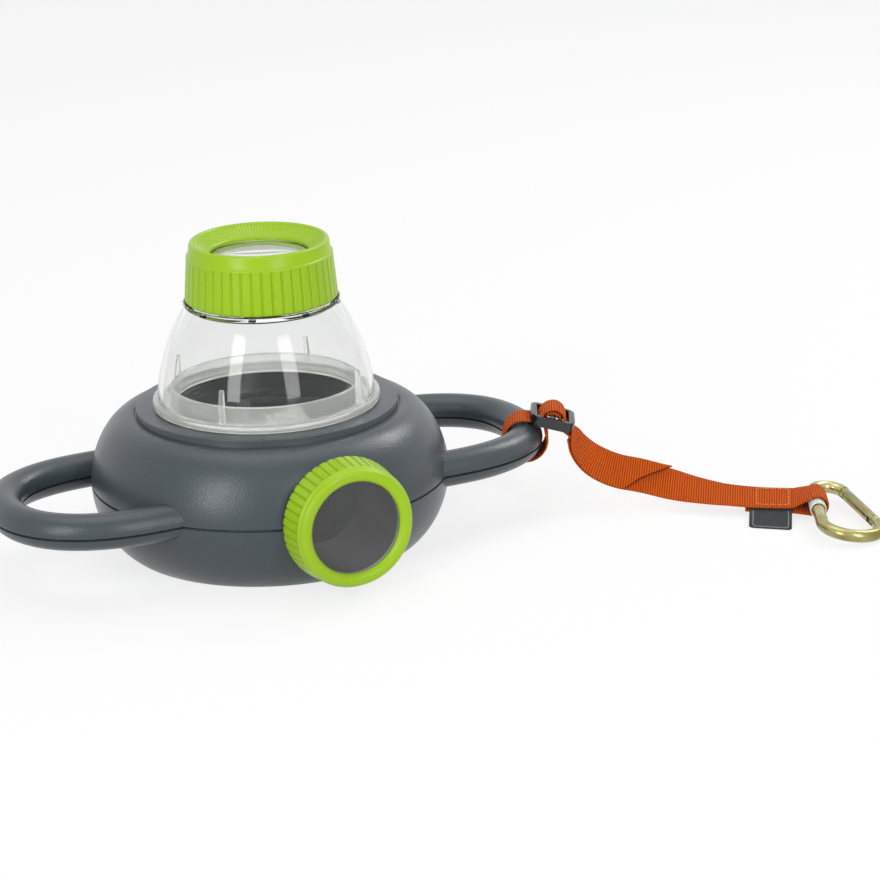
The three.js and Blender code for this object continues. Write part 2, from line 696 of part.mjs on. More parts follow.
function bezelGeometry() {
  const grip = toSolid(
    gripDrum(BEZEL_RADIUS_REAR, BEZEL_RADIUS_FRONT, BEZEL_REAR, BEZEL_GRIP_LENGTH),
  );
  const collar = toSolid(revolve([
    [0, BEZEL_GRIP_END - 1],
    [BEZEL_COLLAR_RADIUS, BEZEL_GRIP_END - 1],
    [BEZEL_RIM_RADIUS, BEZEL_FRONT - 1.8],
    [BEZEL_RIM_RADIUS - 0.6, BEZEL_FRONT - 0.6],
    [BEZEL_RIM_RADIUS - 1.8, BEZEL_FRONT],
    [BEZEL_OPENING + 1.6, BEZEL_FRONT - 0.1],
    [BEZEL_OPENING + 0.4, BEZEL_FRONT - 0.5],
    [BEZEL_OPENING, BEZEL_FRONT - BEZEL_LIP],
    [0, BEZEL_FRONT - BEZEL_LIP],
  ]));
  const bore = toSolid(revolve([
    [0, BEZEL_REAR - 1],
    [TUBE_RADIUS + GAP, BEZEL_REAR - 1],
    [TUBE_RADIUS + GAP, SIDE_LENS_LOW - GAP / 2],
    [SIDE_LENS_RADIUS + GAP, SIDE_LENS_LOW - GAP / 2],
    [SIDE_LENS_RADIUS + GAP, BEZEL_FRONT - BEZEL_LIP],
    [BEZEL_OPENING, BEZEL_FRONT - BEZEL_LIP],
    [BEZEL_OPENING, BEZEL_FRONT],
    [0, BEZEL_FRONT],
  ]));
  return toPort(toGeometry(grip.add(collar).subtract(bore)));
}

function tubeGeometry() {
  const inner = TUBE_RADIUS - TUBE_WALL;
  const flangeOuterEnd = PORT_INNER - GAP;
  return toPort(revolveRing([
    [inner, TUBE_INNER_END],
    [TUBE_RADIUS, TUBE_INNER_END],
    [TUBE_RADIUS, flangeOuterEnd - TUBE_FLANGE_THICKNESS],
    [TUBE_FLANGE_RADIUS, flangeOuterEnd - TUBE_FLANGE_THICKNESS],
    [TUBE_FLANGE_RADIUS, flangeOuterEnd],
    [TUBE_RADIUS, flangeOuterEnd],
    [TUBE_RADIUS, TUBE_OUTER_END],
    [inner, TUBE_OUTER_END],
  ], INNER_COLUMNS));
}

// Frame of the sloping mirror: x across, y up the slope, z out of the reflecting face
const MIRROR_FRAME = new THREE.Matrix4()
  .makeRotationX(degrees(45))
  .setPosition(0, MIRROR_SETBACK, MIRROR_HEIGHT);

function mirrorGeometry() {
  return new THREE.BoxGeometry(MIRROR_SIDE, MIRROR_SIDE, MIRROR_THICKNESS)
    .applyMatrix4(MIRROR_FRAME);
}

// Wedge that carries the mirror: a three-sided frame with a toe under the lower edge
function wedgeGeometry() {
  const floor = HOUSING_WALL + GAP;
  const back = -MIRROR_THICKNESS / 2 - GAP;
  const toWorld = (along, out) => {
    const point = new THREE.Vector3(0, along, out).applyMatrix4(MIRROR_FRAME);
    return new THREE.Vector2(point.y, point.z);
  };
  const foot = toWorld(-MIRROR_SIDE / 2 - GAP - WEDGE_TOE, back);
  const toe = toWorld(-MIRROR_SIDE / 2 - GAP - WEDGE_TOE, MIRROR_THICKNESS / 2 + 0.8);
  const toeInner = toWorld(-MIRROR_SIDE / 2 - GAP, MIRROR_THICKNESS / 2 + 0.8);
  const seat = toWorld(-MIRROR_SIDE / 2 - GAP, back);
  const top = toWorld(MIRROR_SIDE / 2 - 2, back);
  const rear = top.x + WEDGE_WALL;
  const shape = new THREE.Shape([
    new THREE.Vector2(foot.x - (foot.y - floor), floor),
    new THREE.Vector2(rear, floor),
    new THREE.Vector2(rear, top.y),
    top, seat, toeInner, toe, foot,
  ]);
  const inset = WEDGE_WALL * Math.SQRT2;
  const lowCorner = seat.x - (seat.y - floor) + inset + WEDGE_WALL;
  shape.holes.push(new THREE.Path([
    new THREE.Vector2(lowCorner, floor + WEDGE_WALL),
    new THREE.Vector2(rear - WEDGE_WALL, floor + WEDGE_WALL),
    new THREE.Vector2(rear - WEDGE_WALL, floor + rear - lowCorner),
  ]));
  const half = WEDGE_WIDTH / 2;
  return new THREE.ExtrudeGeometry(shape, { depth: WEDGE_WIDTH, bevelEnabled: false })
    .translate(0, 0, -half)
    .applyMatrix4(new THREE.Matrix4().makeBasis(
      new THREE.Vector3(0, 1, 0), new THREE.Vector3(0, 0, 1), new THREE.Vector3(1, 0, 0),
    ));
}

function screwGeometry({ x, y, seat }) {
  const under = seat - GAP;
  return revolve([
    [0, under - SCREW_HEAD_HEIGHT],
    [SCREW_HEAD_RADIUS - 0.5, under - SCREW_HEAD_HEIGHT],
    [SCREW_HEAD_RADIUS, under - SCREW_HEAD_HEIGHT + 0.7],
    [SCREW_HEAD_RADIUS, under],
    [SCREW_SHANK_RADIUS, under],
    [SCREW_SHANK_RADIUS, SCREW_TOP - 1.5],
    [0, SCREW_TOP],
  ], SMALL_COLUMNS).translate(x, y, 0);
}

// Where the strap loop crosses the right handle, and the slider's frame beside it:
// x along the strap, y across it, z out of the slider's upper face
function crossingPoint() {
  const share = (STRAP_CROSSING / HANDLE_HALF_SPREAD) ** HANDLE_SQUARENESS;
  const out = HANDLE_BOW * (1 - share) ** (1 / HANDLE_SQUARENESS);
  return new THREE.Vector3(HANDLE_STRAIGHT_END + out, -STRAP_CROSSING, HANDLE_HEIGHT);
}

const SLIDER_FRAME = (() => {
  const heading = degrees(STRAP_HEADING);
  const slope = degrees(SLIDER_SLOPE);
  const across = new THREE.Vector3(-Math.sin(heading), Math.cos(heading), 0);
  const along = new THREE.Vector3(
    Math.cos(heading) * Math.cos(slope), Math.sin(heading) * Math.cos(slope), -Math.sin(slope),
  );
  const out = along.clone().cross(across);
  const centre = crossingPoint()
    .addScaledVector(out, SLIDER_RISE)
    .addScaledVector(along, SLIDER_ADVANCE);
  return new THREE.Matrix4().makeBasis(along, across, out).setPosition(centre);
})();

function sliderGeometry() {
  const x = SLIDER_LENGTH / 2;
  const y = SLIDER_WIDTH / 2;
  const corner = SLIDER_CORNER;
  const shape = new THREE.Shape();
  [[x, y, 0], [-x, y, 90], [-x, -y, 180], [x, -y, 270]].forEach(([cx, cy, start]) => {
    shape.absarc(
      cx - Math.sign(cx) * corner, cy - Math.sign(cy) * corner, corner,
      degrees(start), degrees(start + 90), false,
    );
  });
  const height = SLIDER_HEIGHT;
  const plate = toSolid(
    new THREE.ExtrudeGeometry(shape, { depth: height, bevelEnabled: false, curveSegments: 4 })
      .translate(0, 0, -height / 2),
  );
  const reach = y - SLIDER_RAIL;
  const barBottom = height / 2 - SLIDER_BAR_HEIGHT;
  const slot = (near, far) => toSolid(block(near, far, -reach, reach, -height, height));
  const bar = SLIDER_BAR / 2;
  const underCut = toSolid(block(-x - 1, x + 1, -reach, reach, -height, barBottom));
  const topCut = toSolid(block(
    SLIDER_BAR - x, x - SLIDER_BAR, -reach, reach, height / 2 - SLIDER_CENTRE_DROP, height,
  ));
  return toGeometry(
    plate
      .subtract(slot(SLIDER_BAR - x, -bar))
      .subtract(slot(bar, x - SLIDER_BAR))
      .subtract(underCut)
      .subtract(topCut),
  ).applyMatrix4(SLIDER_FRAME);
}

// Webbing: each station has a middle point, a unit vector across and a unit normal
function station(middle, across, normal) {
  return { middle, across: across.clone().normalize(), normal: normal.clone().normalize() };
}

function webbingRing({ middle, across, normal }) {
  const half = WEBBING_WIDTH / 2;
  const thick = WEBBING_THICKNESS / 2;
  return [[-1, -1], [1, -1], [1, 1], [-1, 1]].map(([side, face]) => middle.clone()
    .addScaledVector(across, side * half)
    .addScaledVector(normal, face * thick));
}

// Free strap from the slider to the snap hook, by hand: how far each point of its middle lies
// from where the loop crosses the handle, its height in handle heights, and the way across it
const STRAP_ROUTE = [
  [[21.7, -11.1, 1.058], [7.3, 14.2, 0]],
  [[23.6, -13.4, 0.933], [9, 12.4, 4.2]],
  [[25.6, -16.2, 0.75], [9.6, 10.2, 7.6]],
  [[29.8, -19.8, 0.616], [8.6, 9.4, 9.6]],
  [[36, -25, 0.512], [6.6, 7.6, 12.4]],
  [[43.6, -31.6, 0.439], [5.6, 7, 13.2]],
  [[54.5, -41.1, 0.341], [6.9, 9, 11.3]],
  [[64.7, -49.9, 0.268], [7.6, 11.6, 7.9]],
  [[75.4, -59.1, 0.223], [8.1, 12.8, 5.3]],
  [[87.1, -69.3, 0.21], [8.1, 13, 4.7]],
  [[97.8, -78.6, 0.226], [8.2, 13, 4.4]],
];
const CROSSING = crossingPoint();
const STRAP_MIDDLES = new THREE.CatmullRomCurve3(STRAP_ROUTE.map(([[x, y, rise]]) => (
  new THREE.Vector3(CROSSING.x + x, CROSSING.y + y, HANDLE_HEIGHT * rise)
)));
const STRAP_ACROSS = new THREE.CatmullRomCurve3(
  STRAP_ROUTE.map(([, across]) => new THREE.Vector3(...across)),
);

function strapStation(share, lift = 0) {
  const across = STRAP_ACROSS.getPoint(share).normalize();
  const along = STRAP_MIDDLES.getTangent(share);
  const normal = along.clone().cross(across).normalize();
  return station(STRAP_MIDDLES.getPoint(share).addScaledVector(normal, lift), across, normal);
}

function strapGeometry() {
  const rings = [];
  for (let i = 0; i <= STRAP_STEPS; i += 1) {
    rings.push(webbingRing(strapStation(i / STRAP_STEPS)));
  }
  return loft(rings);
}

// Loop round the handle in the slider's plane: under the far bar, over the middle bar, down the
// near slot, round the handle, and back over the first layer to the tail
function loopOutline() {
  const barBottom = SLIDER_HEIGHT / 2 - SLIDER_BAR_HEIGHT;
  const second = barBottom - GAP - WEBBING_THICKNESS / 2;
  const first = second - LAYER;
  const overBar = SLIDER_HEIGHT / 2 - SLIDER_CENTRE_DROP + GAP + WEBBING_THICKNESS / 2;
  const end = SLIDER_LENGTH / 2;
  const inner = end - SLIDER_BAR;
  const hug = SLIDER_BAR / 2 + GAP + WEBBING_THICKNESS / 2;
  const points = [
    [end + 1, first - 0.1], [end - 1.5, first], [inner - 1.5, first + 0.4],
    [inner - 3.6, first + 1.7], [hug + 0.4, 0.3], [hug - 0.2, overBar - 0.4],
    [0.8, overBar + 0.1], [-0.8, overBar + 0.1], [0.2 - hug, overBar - 0.4],
    [-hug - 0.4, 0.2], [-hug - 0.2, -3],
  ];
  for (let angle = 35; angle >= -260; angle -= 22.7) {
    points.push([
      -SLIDER_ADVANCE + LOOP_RADIUS * Math.cos(degrees(angle)),
      -SLIDER_RISE + LOOP_RADIUS * Math.sin(degrees(angle)),
    ]);
  }
  points.push(
    [-end + 0.8, second], [-inner - 0.4, second], [-inner + 0.8, second + 0.4],
    [-inner + 1.7, 0.4], [-inner + 2.6, 2.6], [-3.5, overBar + 1.9], [-0.8, overBar + 3.3],
    [2, overBar + 3.2], [4.3, overBar + 1.7], [5.5, 2.2], [inner - 1.5, 0],
    [inner - 0.5, second + 0.35], [end - 1.5, second], [end + 2, second],
  );
  return points;
}

function strapLoopGeometry() {
  const outline = new THREE.CatmullRomCurve3(
    loopOutline().map(([along, out]) => new THREE.Vector3(along, 0, out)),
  );
  const across = new THREE.Vector3(0, 1, 0).transformDirection(SLIDER_FRAME);
  const steps = 66;
  const rings = [];
  for (let i = 0; i <= steps; i += 1) {
    const middle = outline.getPoint(i / steps).applyMatrix4(SLIDER_FRAME);
    const along = outline.getTangent(i / steps).transformDirection(SLIDER_FRAME);
    rings.push(webbingRing(station(middle, across, across.clone().cross(along).negate())));
  }
  const lift = LAYER + 2 * GAP;
  const fullSteps = Math.round(TAIL_SHORT_EDGE * STRAP_STEPS);
  for (let i = 1; i <= fullSteps; i += 1) {
    rings.push(webbingRing(strapStation(i / STRAP_STEPS, lift)));
  }
  const cutSteps = Math.round((TAIL_LONG_EDGE - TAIL_SHORT_EDGE) * STRAP_STEPS);
  for (let i = 1; i <= cutSteps; i += 1) {
    const curl = lift + (TAIL_CURL * i) / cutSteps;
    const far = webbingRing(strapStation(TAIL_SHORT_EDGE + i / STRAP_STEPS, curl));
    const near = webbingRing(strapStation(TAIL_SHORT_EDGE + (0.02 * i) / cutSteps, lift));
    rings.push([near[0], far[1], far[2], near[3]]);
  }
  return loft(rings);
}

// Snap hook frame: x from the wide bow to the narrow one, y towards the spine, z out of its plane
function hookMatrix() {
  const turn = new THREE.Euler(...HOOK_TURN.map(degrees), 'ZYX');
  const matrix = new THREE.Matrix4().makeRotationFromEuler(turn);
  const lowest = Math.min(...hookPath().map((p) => p.clone().applyMatrix4(matrix).z));
  const [x, y] = HOOK_PLACE;
  return matrix.setPosition(CROSSING.x + x, CROSSING.y + y, WIRE_RADIUS + 0.1 - lowest);
}

const HOOK_LEAN = Math.asin((HOOK_WIDE_RADIUS - HOOK_NARROW_RADIUS) / HOOK_LENGTH);

function hookArc(radius, centre, from, to, steps) {
  return Array.from({ length: steps + 1 }, (_, i) => {
    const angle = from + ((to - from) * i) / steps;
    return new THREE.Vector3(centre + radius * Math.cos(angle), radius * Math.sin(angle), 0);
  });
}

function hookPath() {
  const tangent = Math.PI / 2 - HOOK_LEAN;
  return [
    ...hookArc(HOOK_WIDE_RADIUS, 0, 2 * Math.PI - tangent, tangent, 14),
    ...hookArc(HOOK_NARROW_RADIUS, HOOK_LENGTH, tangent, -tangent, 9),
  ];
}

const HOOK_FRAME = hookMatrix();

// Frame of the gate inside the hook's: z runs from the hinge end towards the nose
const GATE_FRAME = (() => {
  const path = hookPath();
  const start = path[0];
  const along = path[path.length - 1].clone().sub(start).normalize();
  const flat = new THREE.Vector3(0, 0, 1);
  const inward = flat.clone().cross(along);
  return new THREE.Matrix4().makeBasis(inward, flat, along).setPosition(start);
})();
const GATE_SPAN = HOOK_LENGTH * Math.cos(HOOK_LEAN);
const GATE_END = GATE_SPAN - 2 * GAP;

function hookGeometry() {
  const wire = toSolid(rod(hookPath(), WIRE_RADIUS, 10, new THREE.Vector3(0, 0, 1)));
  const half = TONGUE_THICKNESS / 2;
  const tall = TONGUE_HEIGHT / 2;
  const hinge = toSolid(
    block(-tall, tall, -half, half, -1, HINGE_OFFSET + tall).applyMatrix4(GATE_FRAME),
  );
  const nose = toSolid(
    block(-tall, tall, -half, half, GATE_SPAN - GATE_SLOT_LENGTH + 1.6, GATE_SPAN + 1)
      .applyMatrix4(GATE_FRAME),
  );
  const eye = toSolid(
    disc(PIN_RADIUS + GAP, -WIRE_RADIUS, WIRE_RADIUS, SMALL_COLUMNS)
      .rotateX(Math.PI / 2)
      .translate(0, 0, HINGE_OFFSET)
      .applyMatrix4(GATE_FRAME),
  );
  return toGeometry(wire.add(hinge).add(nose).subtract(eye)).applyMatrix4(HOOK_FRAME);
}

function gateGeometry() {
  const rear = HINGE_OFFSET - GATE_TAIL;
  const rodBody = toSolid(revolve([
    [0, rear], [GATE_RADIUS - 0.9, rear], [GATE_RADIUS, rear + 1],
    [GATE_RADIUS, GATE_END], [0, GATE_END],
  ], 12));
  const side = TONGUE_THICKNESS / 2 + GAP;
  const wide = GATE_RADIUS + 1;
  const hingeSlot = toSolid(block(
    -wide, wide, -side, side, rear - 1, HINGE_OFFSET + TONGUE_HEIGHT / 2 + 1,
  ));
  const noseSlot = toSolid(block(
    -wide, wide, -side, side, GATE_SPAN - GATE_SLOT_LENGTH, GATE_SPAN + 1,
  ));
  const bore = toSolid(disc(
    GATE_BORE_RADIUS, HINGE_OFFSET, HINGE_OFFSET + PLUNGER_LENGTH + SPRING_ROOM, SMALL_COLUMNS,
  ));
  const pinHole = toSolid(
    disc(PIN_RADIUS + GAP, -wide, wide, SMALL_COLUMNS)
      .rotateX(Math.PI / 2)
      .translate(0, 0, HINGE_OFFSET),
  );
  return toGeometry(
    rodBody.subtract(hingeSlot).subtract(noseSlot).subtract(bore).subtract(pinHole),
  ).applyMatrix4(GATE_FRAME).applyMatrix4(HOOK_FRAME);
}

function pinGeometry() {
  return disc(PIN_RADIUS, -GATE_RADIUS, GATE_RADIUS, SMALL_COLUMNS)
    .rotateX(Math.PI / 2)
    .translate(0, 0, HINGE_OFFSET)
    .applyMatrix4(GATE_FRAME)
    .applyMatrix4(HOOK_FRAME);
}

function plungerGeometry() {
  const low = HINGE_OFFSET + TONGUE_HEIGHT / 2 + GAP;
  return disc(GATE_BORE_RADIUS - GAP, low, low + PLUNGER_LENGTH, 8)
    .applyMatrix4(GATE_FRAME)
    .applyMatrix4(HOOK_FRAME);
}

// Frame of the strap's end loop on the spine: z along the spine, x away from the strap
const SPINE_SHARE = 0.7;
const SPINE_FRAME = (() => {
  const path = hookPath();
  const wideEnd = path[14];
  const narrowEnd = path[15];
  const middle = wideEnd.clone().lerp(narrowEnd, SPINE_SHARE).applyMatrix4(HOOK_FRAME);
  const along = narrowEnd.clone().sub(wideEnd).transformDirection(HOOK_FRAME);
  const away = new THREE.Vector3(0, 0, 1).cross(along).negate().normalize();
  const out = along.clone().cross(away);
  return new THREE.Matrix4().makeBasis(away, out, along).setPosition(middle);
})();
const SLEEVE_RADIUS = WIRE_RADIUS + GAP + SLEEVE_WALL;

function sleeveGeometry() {
  const half = SLEEVE_LENGTH / 2;
  return ringGeometry(WIRE_RADIUS + GAP, SLEEVE_RADIUS, -half, half, 16).applyMatrix4(SPINE_FRAME);
}

// End loop: out of the strap, over the sleeve, round it and back under the strap as a sewn layer
function endLoopGeometry() {
  const radius = SLEEVE_RADIUS + 1.5 * GAP + WEBBING_THICKNESS / 2;
  const across = new THREE.Vector3(0, 0, 1).transformDirection(SPINE_FRAME);
  const drop = LAYER + TAG_THICKNESS + GAP;
  const middles = [];
  const sides = [];
  const strapEnd = strapStation(1);
  const onward = STRAP_MIDDLES.getTangent(1);
  middles.push(strapEnd.middle.clone().addScaledVector(onward, GAP));
  sides.push(strapEnd.across);
  for (let angle = 120; angle >= -120; angle -= 20) {
    middles.push(new THREE.Vector3(
      radius * Math.cos(degrees(angle)), -radius * Math.sin(degrees(angle)), 0,
    ).applyMatrix4(SPINE_FRAME));
    sides.push(across);
  }
  for (let i = 0; i <= 4; i += 1) {
    const back = strapStation(TAG_END - ((TAG_END - SEWN_START) * i) / 4, -drop);
    middles.push(back.middle);
    sides.push(back.across);
  }
  const middleCurve = new THREE.CatmullRomCurve3(middles);
  const sideCurve = new THREE.CatmullRomCurve3(sides);
  const steps = 36;
  const rings = [];
  for (let i = 0; i <= steps; i += 1) {
    const side = sideCurve.getPoint(i / steps).normalize();
    const normal = middleCurve.getTangent(i / steps).cross(side);
    rings.push(webbingRing(station(middleCurve.getPoint(i / steps), side, normal)));
  }
  return loft(rings);
}

// Bare label sewn between the two layers: it leaves the near edge and lies down to the ground
function tagGeometry() {
  const from = TAG_END - TAG_WIDTH / STRAP_MIDDLES.getLength();
  const half = TAG_THICKNESS / 2;
  const lift = -WEBBING_THICKNESS / 2 - GAP - half;
  const steps = 3;
  const rings = [];
  for (let i = 0; i <= steps; i += 1) {
    const place = strapStation(from + ((TAG_END - from) * i) / steps, lift);
    const root = place.middle.clone().addScaledVector(place.across, -WEBBING_WIDTH / 4);
    const edge = place.middle.clone().addScaledVector(place.across, -WEBBING_WIDTH / 2 - 0.6);
    const fall = new THREE.Vector3(place.across.x, place.across.y, 0).normalize();
    const tip = edge.clone().addScaledVector(fall, -TAG_LENGTH);
    tip.z = half + 0.1;
    rings.push([
      root.clone().addScaledVector(place.normal, -half),
      edge.clone().addScaledVector(place.normal, -half),
      tip.clone().addScaledVector(UP, -half),
      tip.clone().addScaledVector(UP, half),
      edge.clone().addScaledVector(place.normal, half),
      root.clone().addScaledVector(place.normal, half),
    ]);
  }
  return loft(rings);
}

const group = new THREE.Group();

function add(name, geometry, look) {
  const mesh = new THREE.Mesh(closed(geometry), look);
  mesh.geometry.computeVertexNormals();
  mesh.name = name;
  group.add(mesh);
}

add('lower_shell', housingHalf(-1, SEAM_HEIGHT - SEAM_GAP / 2), HOUSING_PLASTIC);
add('upper_shell', housingHalf(SEAM_HEIGHT + SEAM_GAP / 2, DECK_HEIGHT + 1), HOUSING_PLASTIC);
add('chamber_wall', linerGeometry(), DARK_PLASTIC);
add('chamber_cup', cupGeometry(), CLEAR_PLASTIC);
add('mirror', mirrorGeometry(), MIRROR_FACE);
add('mirror_bracket', wedgeGeometry(), DARK_PLASTIC);

add('side_tube', tubeGeometry(), DARK_PLASTIC);
add('side_bezel', bezelGeometry(), GREEN_PLASTIC);
add('side_lens', toPort(
  lensGeometry(SIDE_LENS_RADIUS, SIDE_LENS_LOW, SIDE_LENS_EDGE, SIDE_LENS_BULGE),
), LENS_PLASTIC);
add('side_lens_ring', toPort(ringGeometry(
  SIDE_LENS_RADIUS - LENS_RING_LAND, TUBE_RADIUS, SIDE_RING_LOW, SIDE_RING_LOW + LENS_RING_THICKNESS,
)), DARK_PLASTIC);

add('dome', domeGeometry(), CLEAR_PLASTIC);
add('top_cap', capGeometry(), GREEN_PLASTIC);
add('top_lens', lensGeometry(
  TOP_LENS_RADIUS, TOP_LENS_LOW, TOP_LENS_EDGE, TOP_LENS_BULGE,
), LENS_PLASTIC);
add('top_lens_ring', ringGeometry(
  TOP_LENS_RADIUS - LENS_RING_LAND, NECK_RADIUS - GAP, TOP_RING_LOW, TOP_RING_LOW + LENS_RING_THICKNESS,
), DARK_PLASTIC);

BASE_SCREWS.forEach((place, i) => add(`base_screw_${i + 1}`, screwGeometry(place), STEEL));
HANDLE_SCREWS.forEach((place, i) => add(`handle_screw_${i + 1}`, screwGeometry(place), STEEL));

add('slider', sliderGeometry(), BUCKLE_PLASTIC);
add('strap_loop', strapLoopGeometry(), WEBBING);
add('strap', strapGeometry(), WEBBING);
add('strap_end_loop', endLoopGeometry(), WEBBING);
add('strap_tag', tagGeometry(), TAG_FABRIC);
add('sleeve', sleeveGeometry(), WHITE_PLASTIC);

add('carabiner', hookGeometry(), GOLD_METAL);
add('carabiner_gate', gateGeometry(), GOLD_METAL);
add('gate_pin', pinGeometry(), STEEL);
add('gate_plunger', plungerGeometry(), STEEL);

export default group;
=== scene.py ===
"""Looks of the two-way bug viewer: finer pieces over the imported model, materials, light, camera.

Shapes are drawn in millimetres with the values of the part's source, and stored in metres.
"""

import math

import bpy
from mathutils import Matrix, Vector


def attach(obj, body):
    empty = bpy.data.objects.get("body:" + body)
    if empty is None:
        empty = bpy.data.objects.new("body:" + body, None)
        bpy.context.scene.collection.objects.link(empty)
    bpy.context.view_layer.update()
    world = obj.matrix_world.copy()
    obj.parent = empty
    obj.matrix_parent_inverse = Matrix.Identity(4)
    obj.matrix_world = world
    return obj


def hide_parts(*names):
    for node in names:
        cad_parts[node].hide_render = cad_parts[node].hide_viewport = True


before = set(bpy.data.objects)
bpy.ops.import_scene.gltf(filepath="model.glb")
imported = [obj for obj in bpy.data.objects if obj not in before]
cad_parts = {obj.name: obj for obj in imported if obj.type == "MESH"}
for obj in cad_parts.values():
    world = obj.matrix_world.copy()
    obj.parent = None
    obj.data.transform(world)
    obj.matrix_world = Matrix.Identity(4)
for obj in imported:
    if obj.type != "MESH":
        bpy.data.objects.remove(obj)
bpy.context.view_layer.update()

TAU = 2 * math.pi
UP = Vector((0, 0, 1))
GAP = 0.3
THREAD_MAP = "threads"


# Helpers for nodes, objects and places

def set_inputs(node, **values):
    """Set sockets by their names, written with _ for a blank."""
    for socket, value in values.items():
        node.inputs[socket.replace("_", " ")].default_value = value


def math_node(tree, operation, *values):
    """Output of a Math node on sockets and plain numbers."""
    node = tree.nodes.new("ShaderNodeMath")
    node.operation = operation
    for slot, value in enumerate(values):
        if isinstance(value, (int, float)):
            node.inputs[slot].default_value = value
        else:
            tree.links.new(value, node.inputs[slot])
    return node.outputs[0]


def map_range(tree, value, **ends):
    """Output of a Map Range node. An end that isn't given stays 0 or 1."""
    node = tree.nodes.new("ShaderNodeMapRange")
    set_inputs(node, **ends)
    tree.links.new(value, node.inputs["Value"])
    return node.outputs["Result"]


def mix_in(tree, share, second):
    """Put a mix of the Principled shader and a second one on the material's surface."""
    mix = tree.nodes.new("ShaderNodeMixShader")
    tree.links.new(share, mix.inputs[0])
    tree.links.new(tree.nodes["Principled BSDF"].outputs[0], mix.inputs[1])
    tree.links.new(second.outputs[0], mix.inputs[2])
    tree.links.new(mix.outputs[0], tree.nodes["Material Output"].inputs["Surface"])


def plain_material(name, colour, roughness, **sockets):
    look = bpy.data.materials.new(name)
    look.use_nodes = True
    shader = look.node_tree.nodes["Principled BSDF"]
    set_inputs(shader, Base_Color=colour, Roughness=roughness, **sockets)
    return look


def add_object(name, data):
    obj = bpy.data.objects.new(name, data)
    bpy.context.collection.objects.link(obj)
    return obj


def basis(x, y, z, origin):
    """Place with three given axes."""
    return Matrix.Translation(origin) @ Matrix((x, y, z)).transposed().to_4x4()


def turn_about(axis, degrees):
    return Matrix.Rotation(math.radians(degrees), 4, axis)


# Camera and light

CAMERA_PLACE = Vector((-0.5559, -1.3378, 0.5231))
CAMERA_RIGHT = Vector((0.8962, -0.4425, -0.0320))
CAMERA_DOWN = Vector((-0.1665, -0.2688, -0.9487))
CAMERA_FORWARD = Vector((0.4112, 0.8556, -0.3146))
CAMERA_LENS = 135.95
CAMERA_SENSOR = 36
CAMERA_FAR_END = 20
WORLD_COLOUR = (0.98, 0.99, 1, 1)
WORLD_LIGHT = 0.4
WORLD_SEEN = 1.02
FLOOR_REACH = 6
FLOOR_COLOUR = (0.86, 0.86, 0.86, 1)
FLOOR_ROUGHNESS = 0.9
FLOOR_GLOW = 1.04
FLOOR_GLOW_SHARE = 0.75
# name, place, target, size in metres, power in watts
LAMPS = (
    ("left", (-1.16, -0.73, 0.62), (0, 0, 0.06), (0.36, 1.0), 7.5),
    ("front", (0.16, -1.42, 0.66), (0, 0, 0.06), (0.42, 1.0), 6),
    ("back", (1.1, 0.22, 1.02), (0, 0, 0.05), (0.6, 0.6), 6),
    ("top", (0.0, 0.2, 1.6), (0, 0, 0), (1.2, 1.2), 6),
)


def add_camera():
    data = bpy.data.cameras.new("camera")
    data.sensor_width = CAMERA_SENSOR
    data.lens = CAMERA_LENS
    data.clip_end = CAMERA_FAR_END
    camera = add_object("camera", data)
    camera.matrix_world = basis(CAMERA_RIGHT, -CAMERA_DOWN, -CAMERA_FORWARD, CAMERA_PLACE)
    bpy.context.scene.camera = camera


def add_lamp(name, place, target, size, power):
    data = bpy.data.lights.new(name, "AREA")
    data.shape = "RECTANGLE"
    data.size, data.size_y = size
    data.energy = power
    lamp = add_object(name, data)
    direction = Vector(target) - Vector(place)
    turn = direction.to_track_quat("-Z", "Y").to_matrix().to_4x4()
    lamp.matrix_world = Matrix.Translation(place) @ turn


def seen_ray(tree):
    """1 for a ray that shows the surroundings: straight, in a reflection or through glass."""
    path = tree.nodes.new("ShaderNodeLightPath")
    found = path.outputs["Is Camera Ray"]
    for kind in ("Is Glossy Ray", "Is Transmission Ray"):
        found = math_node(tree, "MAXIMUM", found, path.outputs[kind])
    return found


def add_world():
    """Dim light all round that shows as white behind the object, in glass and in metal."""
    world = bpy.data.worlds.new("studio")
    bpy.context.scene.world = world
    world.use_nodes = True
    tree = world.node_tree
    background = tree.nodes["Background"]
    set_inputs(background, Color=WORLD_COLOUR)
    level = map_range(tree, seen_ray(tree), To_Min=WORLD_LIGHT, To_Max=WORLD_SEEN)
    tree.links.new(level, background.inputs["Strength"])


def add_floor():
    mesh = bpy.data.meshes.new("floor")
    square = ((-1, -1), (1, -1), (1, 1), (-1, 1))
    mesh.from_pydata([(FLOOR_REACH * x, FLOOR_REACH * y, 0) for x, y in square], [], [(0, 1, 2, 3)])
    floor = add_object("floor", mesh)
    look = plain_material("floor", FLOOR_COLOUR, FLOOR_ROUGHNESS, Specular_IOR_Level=0)
    tree = look.node_tree
    glow = tree.nodes.new("ShaderNodeEmission")
    set_inputs(glow, Strength=FLOOR_GLOW)
    mix_in(tree, math_node(tree, "MULTIPLY", seen_ray(tree), FLOOR_GLOW_SHARE), glow)
    mesh.materials.append(look)


add_camera()
add_world()
add_floor()
for lamp_values in LAMPS:
    add_lamp(*lamp_values)


# Materials

CLEAR_IOR = 1.35
LENS_IOR = 1.49
NOISE_LOW = 0.3
NOISE_HIGH = 0.7
DARKER_TONE = 0.93
RIB_PITCH = 1.15


def linear(*levels):
    """Colour from 0 to 255 as the eye sees it, as the linear colour that a shader takes."""
    values = [level / 255 for level in levels]
    return (*(v / 12.92 if v <= 0.04045 else ((v + 0.055) / 1.055) ** 2.4 for v in values), 1)


